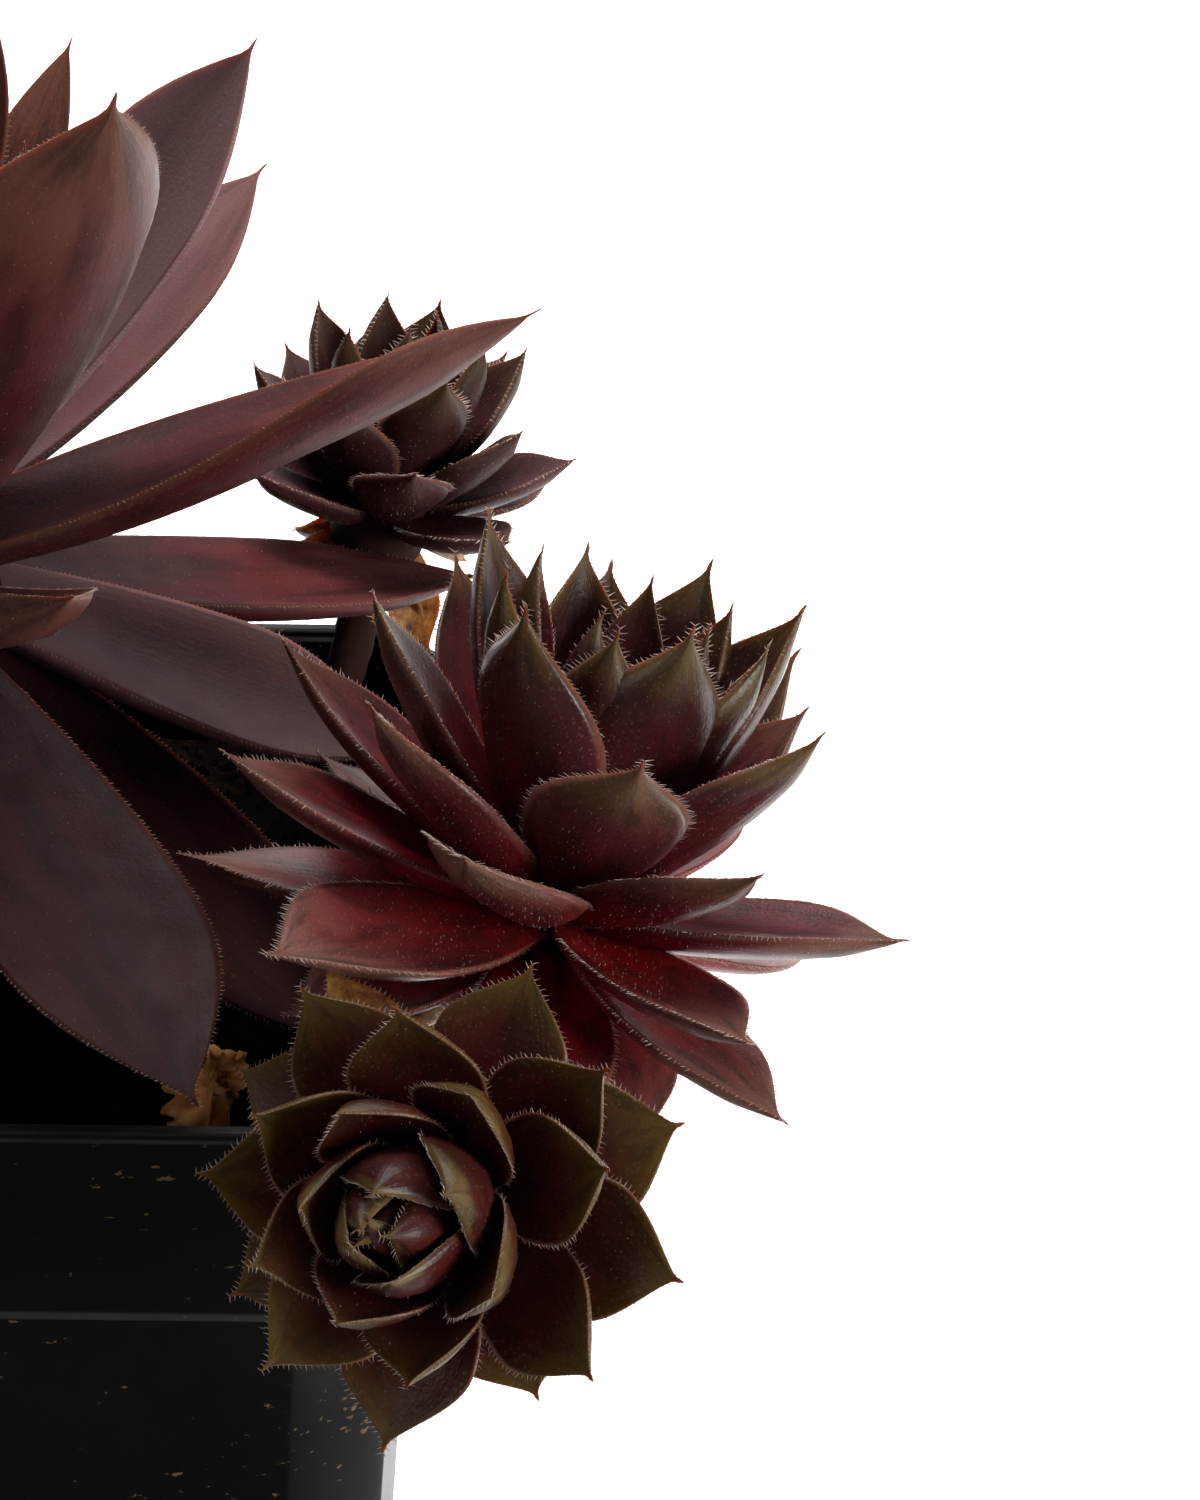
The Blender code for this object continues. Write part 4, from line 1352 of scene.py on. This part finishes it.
def build_stem(rosette, bark):
    """The runner or stem from the soil to the crown, and the crown that the leaves are rooted in."""
    bm = bmesh.new()
    foot, bend, crown = stem_foot(rosette.foot), Vector(rosette.stem_bend), Vector(rosette.base)
    above = Vector((foot.x, foot.y, soil_height(foot.x, foot.y) + rosette.stem_radius))
    route = [foot, foot.lerp(above, 0.5)]
    route += [bezier_point(above, bend, crown, k / STEM_STEPS) for k in range(STEM_STEPS + 1)]
    add_tube(bm, route, rosette.stem_radius, STEM_SIDES, STEM_SCARS)
    girth = rosette.girth * CROWN_SPREAD
    place = Matrix.Translation(crown) @ rosette_axes(rosette).to_4x4()
    size = Matrix.Diagonal((girth, girth, rosette.rise * CROWN_SPREAD, 1))
    bmesh.ops.create_uvsphere(bm, u_segments=24, v_segments=14, radius=1, matrix=place @ size)
    bmesh.ops.recalc_face_normals(bm, faces=bm.faces[:])
    mesh = mesh_from(bm, f"{rosette.name}_stem")
    smoothed(mesh)
    mesh.materials.append(bark)
    return link_object(f"{rosette.name}_stem", mesh)


def withered_spine(leaf, rolled=1.0):
    """Points up the leaf's middle in its own upright plane, with the slope at each."""
    coil, coiled_length = math.radians(leaf.coil[0]) * rolled, leaf.coil[1] * blend((0.25, 1), rolled)
    collar = STEM_HOLE_DEPTH + WITHERED_HALF_FOOT
    steps = WITHERED_COLLAR_ROWS
    points = [(0.0, 0.0, 0.0)]
    points += [(0.0, collar + leaf.height * k / steps, 0.0) for k in range(steps + 1)]
    step = coiled_length / WITHERED_ROWS
    for row in range(1, WITHERED_ROWS + 1):
        out, up, _ = points[-1]
        slope = coil * ((row - 0.5) / WITHERED_ROWS) ** WITHERED_COIL_POWER
        points.append((out + step * math.sin(slope), up + step * math.cos(slope), slope))
    return points


def build_withered_leaf(leaf, dry):
    """A thin crumpled sheet with a ragged edge, rolled up as its solid is."""
    spine, loose = withered_spine(leaf), withered_spine(leaf, rolled=0.1)
    last = len(spine) - 1
    bm = bmesh.new()
    bmesh.ops.create_grid(bm, x_segments=WITHERED_COLUMNS, y_segments=last, size=1)
    foot = stem_foot(leaf.foot)
    turn = Matrix.Rotation(math.radians(leaf.heading), 3, "Z")
    for v in bm.verts:
        side, row = v.co.x, round((v.co.y + 1) / 2 * last)
        # A torn leaf's one side comes away and rolls up less
        tear = leaf.torn * min(1.0, max(0.0, 2.5 * side + 0.4))
        out, up, slope = (blend(pair, tear) for pair in zip(spine[row], loose[row]))
        half, crumple = WITHERED_HALF_FOOT, 0.0
        if row > 1:
            share = (row - 1) / last
            ragged = noise.noise(Vector((side * 2, row * 0.45, leaf.heading)))
            bulge = math.sin(math.pi * share) ** 0.6 * (1 + WITHERED_RAGGEDNESS * ragged)
            half += (leaf.width / 2 - half) * bulge
            patch = Vector((side * 2.2, row * 0.2, leaf.heading * 0.3))
            crumple = WITHERED_CRUMPLE * noise.fractal(patch, 0.7, 2.2, 4) * min(1, 4 * share)
            crumple += WITHERED_TROUGH * side**2 * share
        out += math.cos(slope) * crumple
        up -= math.sin(slope) * crumple
        v.co = foot + turn @ Vector((out, side * half, up))
    sheet = link_object(f"{leaf.name}_sheet", mesh_from(bm, leaf.name))
    wall = sheet.modifiers.new("wall", "SOLIDIFY")
    wall.thickness = WITHERED_WALL
    wall.offset = 0
    piece = finished(sheet, f"{leaf.name}_paper")
    smoothed(piece.data)
    piece.data.materials.append(dry)
    return piece


# Pot and soil


# A corner cut is all but flat, as in the solid, with a quarter of a millimetre of flat side held beside it
CORNER_FLATNESS = 1.74
CORNER_EASE = 0.25 * MM
FOOT_ROUND = 1.5 * MM
# Edges that turn by more degrees than this stay sharp
POT_SHARP = 38
# Points along a side and round a corner
POT_STEPS = (6, 14)
SOIL_STEPS = (40, 8)
SOIL_RINGS = 44
# The soil's top: its gap to the wall, its broad waves in radians a metre, and the width of a lump
SOIL_GAP = 0.3 * MM
SOIL_WAVES = (410, 350)
SOIL_LUMP = 3.5 * MM
# Crumbs lie only on soil above this height, and where it is no steeper than this
CRUMB_LEVEL = 70 * MM
CRUMB_UPRIGHT = 0.4


def square_ring(half, corner, height, steps):
    """Points of a level square with eased corner cuts; height may be a function of x and y."""
    side_steps, corner_steps = steps
    points = []
    corner = min(corner, half)
    flat = half - corner
    ease = min(CORNER_EASE, flat / 4)
    shares = [k / (side_steps - 2) for k in range(1, side_steps - 2)]
    along = [-flat, ease - flat, *(blend((-flat, flat), share) for share in shares), flat - ease]
    for quarter in range(4):
        turn = Matrix.Rotation(quarter * math.pi / 2, 2)
        side = [Vector((half, y)) for y in along]
        arc = []
        for k in range(corner_steps):
            angle = math.pi / 2 * k / corner_steps
            x, y = (side**CORNER_FLATNESS for side in (math.cos(angle), math.sin(angle)))
            arc.append(Vector((flat + corner * x, flat + corner * y)))
        points += [turn @ p for p in side + arc]
    return [Vector((p.x, p.y, height(p.x, p.y) if callable(height) else height)) for p in points]


def pot_corner(pot, half):
    """The corner cut where the pot is this wide: it shrinks with the pot."""
    return pot.corner_cut * half / (pot.lip_width / 2)


def pot_profile(pot):
    """(outside half width or inside half width, height) from the foot's middle, up, and back down inside."""
    foot, band_foot = pot.foot_width / 2, pot.height - pot.band_height
    lip, band = pot.lip_width / 2, pot.band_width / 2
    body = band - pot.step_in
    round_foot = [
        (foot - FOOT_ROUND * (1 - math.sin(a)), FOOT_ROUND * (1 - math.cos(a)))
        for a in (math.pi / 2 * k / 5 for k in range(6))
    ]
    outside = [(foot * 0.5, 0), *round_foot]
    outside += [(blend((foot, body), k / 6), blend((FOOT_ROUND, band_foot), k / 6)) for k in range(1, 6)]
    outside += [
        (body, band_foot - 0.25 * MM),
        (body + 0.12 * MM, band_foot),
        (band - 0.35 * MM, band_foot + 0.12 * MM),
        (band - 0.08 * MM, band_foot + 0.3 * MM),
        (band, band_foot + 0.7 * MM),
        (blend((band, lip), 0.5), band_foot + pot.band_height * 0.5),
        (lip - 0.32 * MM, pot.height - 1.15 * MM),
        (lip - 0.3 * MM, pot.height - 0.85 * MM),
        (lip - 0.04 * MM, pot.height - 0.72 * MM),
        (lip, pot.height - 0.5 * MM),
        (lip, pot.height - 0.25 * MM),
        (lip - 0.1 * MM, pot.height - 0.06 * MM),
        (lip - 0.3 * MM, pot.height),
    ]
    inside = [
        (lip - pot.wall + 0.15 * MM, pot.height),
        (lip - pot.wall, pot.height - 0.15 * MM),
        (lip - pot.wall - 0.15 * MM, pot.height - 1.5 * MM),
        (band - pot.wall, band_foot + 1.4 * MM),
        (body - pot.wall, band_foot + 0.4 * MM),
        (foot - pot.wall + 0.4 * MM, pot.wall + 1.2 * MM),
        (foot - pot.wall - 1.2 * MM, pot.wall),
        (foot * 0.5, pot.wall),
    ]
    return outside + inside


def clean_cuts(mesh):
    """Merges the points and slivers that a cut leaves within a thousandth of a millimetre."""
    bm = bmesh.new()
    bm.from_mesh(mesh)
    bmesh.ops.remove_doubles(bm, verts=bm.verts[:], dist=0.001 * MM)
    bmesh.ops.dissolve_degenerate(bm, edges=bm.edges[:], dist=0.001 * MM)
    bm.to_mesh(mesh)
    bm.free()


def build_pot(pot, plastic):
    """Lofts the pot's wall, inside and out, and cuts its drain holes."""
    bm = bmesh.new()
    rings = []
    for half, height in pot_profile(pot):
        rings.append(square_ring(half, pot_corner(pot, half), height, POT_STEPS))
    lofted(bm, rings)
    bmesh.ops.recalc_face_normals(bm, faces=bm.faces[:])
    raw = link_object("pot_raw", mesh_from(bm, "pot_moulding"))
    cutters = []
    for x in (-pot.drain_offset, pot.drain_offset):
        for y in (-pot.drain_offset, pot.drain_offset):
            bm = bmesh.new()
            bmesh.ops.create_cone(
                bm,
                cap_ends=True,
                segments=40,
                radius1=pot.drain_radius,
                radius2=pot.drain_radius,
                depth=8 * pot.wall,
            )
            cutter = link_object("drain", mesh_from(bm, "drain"))
            cutter.location = (x, y, 0)
            cut = raw.modifiers.new("drain", "BOOLEAN")
            cut.object = cutter
            cutters.append(cutter)
    piece = finished(raw, "pot_moulding")
    for cutter in cutters:
        bpy.data.objects.remove(cutter, do_unlink=True)
    clean_cuts(piece.data)
    smoothed(piece.data, POT_SHARP)
    piece.data.materials.append(plastic)
    return piece


def crumbly_height(x, y):
    """The soil's top with its lumps."""
    soil = bpy.context.scene.houseleek_soil
    lumps = noise.fractal(Vector((x, y, 0)) / SOIL_LUMP, 0.8, 2.1, 4)
    return soil_height(x, y) + soil.grain * lumps


def build_soil(pot, soil, peat):
    """Fills the pot with soil as one closed block, its top finely lumpy."""
    slant = math.hypot(1, (pot.lip_width - pot.foot_width) / 2 / pot.height)
    inset = pot.wall * slant + SOIL_GAP
    floor, step = pot.wall + SOIL_GAP, pot.height - pot.band_height
    body = pot.band_width / 2 - pot.step_in - inset
    rings = []
    for half, height in (
        (pot.foot_width / 2 - inset - FOOT_ROUND, floor),
        (pot.foot_width / 2 - inset, floor + 2 * MM),
        (body - 0.1 * MM, step - 0.7 * MM),
        (body - 0.1 * MM, pot.height - soil.depth - 2 * MM),
    ):
        rings.append(square_ring(half, pot_corner(pot, half), height, SOIL_STEPS))
    for k in range(SOIL_RINGS):
        half = (body - 0.1 * MM) * (1 - (k + 0.3) / SOIL_RINGS)
        rings.append(square_ring(half, pot_corner(pot, half), crumbly_height, SOIL_STEPS))
    bm = bmesh.new()
    lofted(bm, rings)
    bmesh.ops.recalc_face_normals(bm, faces=bm.faces[:])
    mesh = mesh_from(bm, "soil_block")
    smoothed(mesh)
    mesh.materials.append(peat)
    return link_object("soil_block", mesh)


def crumb_tree():
    """Scatters loose crumbs over the soil's top."""
    tree, given, identifiers = new_tree(
        "soil crumbs",
        (
            ("Crumb size", "NodeSocketFloat"),
            ("Crumbs", "NodeSocketFloat"),
            ("Seed", "NodeSocketInt"),
            ("Peat", "NodeSocketMaterial"),
        ),
    )
    normal = add_node(tree, "GeometryNodeInputNormal")
    upright = add_node(tree, "ShaderNodeSeparateXYZ", {0: normal}).outputs["Z"]
    place = add_node(tree, "GeometryNodeInputPosition")
    level = add_node(tree, "ShaderNodeSeparateXYZ", {0: place}).outputs["Z"]
    checks = []
    for value, least in ((level, CRUMB_LEVEL), (upright, CRUMB_UPRIGHT)):
        compared = {"A": value, "B": least}
        checks.append(add_node(tree, "FunctionNodeCompare", compared, operation="GREATER_THAN"))
    on_top = add_node(tree, "FunctionNodeBooleanMath", dict(enumerate(checks)), operation="AND")
    spots = add_node(
        tree,
        "GeometryNodeDistributePointsOnFaces",
        {"Mesh": given["Geometry"], "Selection": on_top, "Density": given["Crumbs"], "Seed": given["Seed"]},
    )
    lump = add_node(tree, "GeometryNodeMeshIcoSphere", {"Radius": 0.5, "Subdivisions": 2})
    dents = add_node(tree, "ShaderNodeTexNoise", {"Scale": 2.2, "Detail": 2.0})
    dents = add_node(
        tree,
        "ShaderNodeMath",
        {0: dents.outputs["Fac"], 1: 1.4, 2: 0.3},
        operation="MULTIPLY_ADD",
    )
    shape = add_node(tree, "ShaderNodeVectorMath", {0: place, "Scale": dents}, operation="SCALE")
    rough = add_node(tree, "GeometryNodeSetPosition", {"Geometry": lump, "Position": shape})
    spin = add_node(
        tree,
        "FunctionNodeRandomValue",
        {"Min": (0.0, 0.0, 0.0), "Max": (6.28, 6.28, 6.28), "Seed": given["Seed"]},
        data_type="FLOAT_VECTOR",
    )
    part = add_node(
        tree,
        "FunctionNodeRandomValue",
        {"Min": (0.25, 0.2, 0.2), "Max": (1.5, 1.0, 0.8), "Seed": given["Seed"]},
        data_type="FLOAT_VECTOR",
    )
    size = add_node(tree, "ShaderNodeVectorMath", {0: part, "Scale": given["Crumb size"]}, operation="SCALE")
    crumbs = add_node(
        tree,
        "GeometryNodeInstanceOnPoints",
        {"Points": spots, "Instance": rough, "Rotation": spin, "Scale": size},
    )
    real = add_node(tree, "GeometryNodeRealizeInstances", {"Geometry": crumbs})
    dark = add_node(tree, "GeometryNodeSetMaterial", {"Geometry": real, "Material": given["Peat"]})
    add_node(tree, "NodeGroupOutput", {0: dark})
    return tree, identifiers


# Operators


class HOUSELEEK_OT_pot(bpy.types.Operator):
    """Moulds the square pot with its band, lip and drain holes"""

    bl_idname = "houseleek.pot"
    bl_label = "Pot"

    def execute(self, context):
        pot = context.scene.houseleek_pot
        piece = build_pot(pot, plastic_material(pot))
        handed_in(piece, "pot")
        return {"FINISHED"}


class HOUSELEEK_OT_soil(bpy.types.Operator):
    """Fills the pot with soil and scatters crumbs over it"""

    bl_idname = "houseleek.soil"
    bl_label = "Soil"

    def execute(self, context):
        soil = context.scene.houseleek_soil
        peat = soil_material(soil.peat, soil.bark)
        block = build_soil(context.scene.houseleek_pot, soil, peat)
        tree, identifiers = crumb_tree()
        source = link_object("crumb_source", block.data.copy())
        values = {"Crumb size": soil.crumb, "Crumbs": soil.crumbs, "Seed": soil.seed, "Peat": peat}
        crumbs = grown(source, "soil_crumbs", tree, identifiers, values)
        handed_in(block, "soil")
        handed_in(crumbs)
        return {"FINISHED"}


class HOUSELEEK_OT_rosettes(bpy.types.Operator):
    """Grows the leaves of the mother rosette and its offsets, with their stems and hairs"""

    bl_idname = "houseleek.rosettes"
    bl_label = "Rosettes"

    def execute(self, context):
        settings = context.scene.houseleek_leaf
        tree, identifiers = rosette_tree()
        hairs, hair_identifiers = hair_tree()
        skins = {name: leaf_material(look) for name, look in LOOKS.items()}
        bark = bark_material(settings.bark)
        hair = hair_material(settings.hair)
        for rosette in ROSETTES:
            leaves = build_leaves(rosette, tree, identifiers, settings.waviness, skins[rosette.look])
            values = {
                "Hair length": settings.hair_length * rosette.hairiness,
                "Hair spacing": settings.hair_spacing,
                "Fuzz length": settings.fuzz_length,
                "Fuzz density": settings.fuzz / MM**2 * rosette.hairiness**2,
                "Seed": rosette.seed,
                "Hair": hair,
            }
            source = link_object("hair_source", leaves.data.copy())
            hairy = grown(source, f"{rosette.name}_hairs", hairs, hair_identifiers, values)
            handed_in(leaves, rosette.name)
            handed_in(hairy)
            handed_in(build_stem(rosette, bark))
        return {"FINISHED"}


class HOUSELEEK_OT_withered(bpy.types.Operator):
    """Crumples the withered leaves that stand in the soil"""

    bl_idname = "houseleek.withered"
    bl_label = "Withered leaves"

    def execute(self, context):
        dry = dry_material(context.scene.houseleek_leaf.dry)
        for leaf in WITHERED_LEAVES:
            handed_in(build_withered_leaf(leaf, dry), leaf.name)
        return {"FINISHED"}


# Each light's width, its spread in degrees, its place, and the point that it is turned to
LIGHTS = {
    "back_light": (0.7, 60, (0.05, 0.45, 0.6), (0.05, 0.44, 0.0)),
    "key_light": (0.6, 180, (0.2, 0.75, 0.7), (0.02, 0.0, 0.1)),
    "top_light": (0.5, 180, (0.15, 0.1, 0.7), (0.03, 0.0, 0.1)),
    "left_light": (0.35, 60, (-0.45, -0.5, 0.5), (0.0, 0.0, 0.1)),
    "right_light": (0.3, 60, (0.6, -0.36, 0.22), (0.06, -0.03, 0.09)),
}

# The camera's lens and sensor in millimetres, its place, and its own right and forward directions
LENS = 140.4
SENSOR = 36
CAMERA_PLACE = (0.068243, -0.430829, 0.320406)
CAMERA_RIGHT = (0.99975, 0.02246, 0.0)
CAMERA_AHEAD = (-0.02, 0.8904, -0.4547)


class HOUSELEEK_OT_stage(bpy.types.Operator):
    """Sets the pale floor, the soft lights and the camera"""

    bl_idname = "houseleek.stage"
    bl_label = "Floor, light and camera"

    def execute(self, context):
        stage, scene = context.scene.houseleek_stage, context.scene
        bm = bmesh.new()
        bmesh.ops.create_grid(bm, x_segments=1, y_segments=1, size=stage.floor_width / 2)
        mesh = mesh_from(bm, "floor")
        mesh.materials.append(floor_material(stage.floor))
        link_object("floor", mesh)
        for name, (size, spread, place, target) in LIGHTS.items():
            add_light(name, getattr(stage, name), size, spread, place, target)
        world = bpy.data.worlds.new("studio")
        scene.world = world
        world.use_nodes = True
        background = world.node_tree.nodes["Background"]
        background.inputs["Color"].default_value = (1, 1, 1, 1)
        background.inputs["Strength"].default_value = stage.sky
        scene.view_settings.view_transform = "Standard"
        add_camera()
        return {"FINISHED"}


def add_light(name, power, size, spread, place, target):
    """A soft square light at a place, turned to a target; a smaller spread keeps its light together."""
    light = bpy.data.lights.new(name, "AREA")
    light.energy = power
    light.size = size
    light.spread = math.radians(spread)
    obj = link_object(name, light)
    obj.visible_camera = False
    obj.location = place
    obj.rotation_euler = (Vector(target) - Vector(place)).to_track_quat("-Z", "Y").to_euler()


def add_camera():
    """The photograph's view: 27 degrees down, from 0.45 m in front."""
    camera = bpy.data.cameras.new("camera")
    camera.lens = LENS
    camera.sensor_width = SENSOR
    camera.clip_start = 0.01
    obj = link_object("camera", camera)
    right = Vector(CAMERA_RIGHT)
    ahead = Vector(CAMERA_AHEAD).normalized()
    up = right.cross(ahead).normalized()
    turned = Matrix((right, up, -ahead)).transposed().to_4x4()
    obj.matrix_world = Matrix.Translation(CAMERA_PLACE) @ turned
    bpy.context.scene.camera = obj


class HOUSELEEK_PT_panel(bpy.types.Panel):
    """Lists the settings and the steps"""

    bl_idname = "HOUSELEEK_PT_panel"
    bl_label = "Houseleek"
    bl_space_type = "VIEW_3D"
    bl_region_type = "UI"
    bl_category = "Houseleek"

    def draw(self, context):
        for settings in SETTINGS:
            box = self.layout.box()
            box.label(text=settings.removeprefix("houseleek_").capitalize())
            group = getattr(context.scene, settings)
            for name in group.__annotations__:
                box.prop(group, name)
        for operator in OPERATORS:
            self.layout.operator(operator.bl_idname)


SETTINGS = {
    "houseleek_pot": PotSettings,
    "houseleek_soil": SoilSettings,
    "houseleek_leaf": LeafSettings,
    "houseleek_stage": StageSettings,
}
OPERATORS = (
    HOUSELEEK_OT_stage,
    HOUSELEEK_OT_pot,
    HOUSELEEK_OT_soil,
    HOUSELEEK_OT_rosettes,
    HOUSELEEK_OT_withered,
)


def register():
    for cls in (*SETTINGS.values(), *OPERATORS, HOUSELEEK_PT_panel):
        bpy.utils.register_class(cls)
    for name, cls in SETTINGS.items():
        setattr(bpy.types.Scene, name, PointerProperty(type=cls))


def unregister():
    for name in SETTINGS:
        delattr(bpy.types.Scene, name)
    for cls in (HOUSELEEK_PT_panel, *OPERATORS, *SETTINGS.values()):
        bpy.utils.unregister_class(cls)


def clear_start_scene():
    """Removes what a new file holds besides the frame."""
    kept = {*frame["nodes"].values(), *frame["bodies"].values()}
    for obj in list(bpy.data.objects):
        if obj not in kept:
            bpy.data.objects.remove(obj, do_unlink=True)


def main():
    register()
    clear_start_scene()
    bpy.ops.houseleek.stage()
    bpy.ops.houseleek.pot()
    bpy.ops.houseleek.soil()
    bpy.ops.houseleek.rosettes()
    bpy.ops.houseleek.withered()


if __name__ == "__main__":
    main()
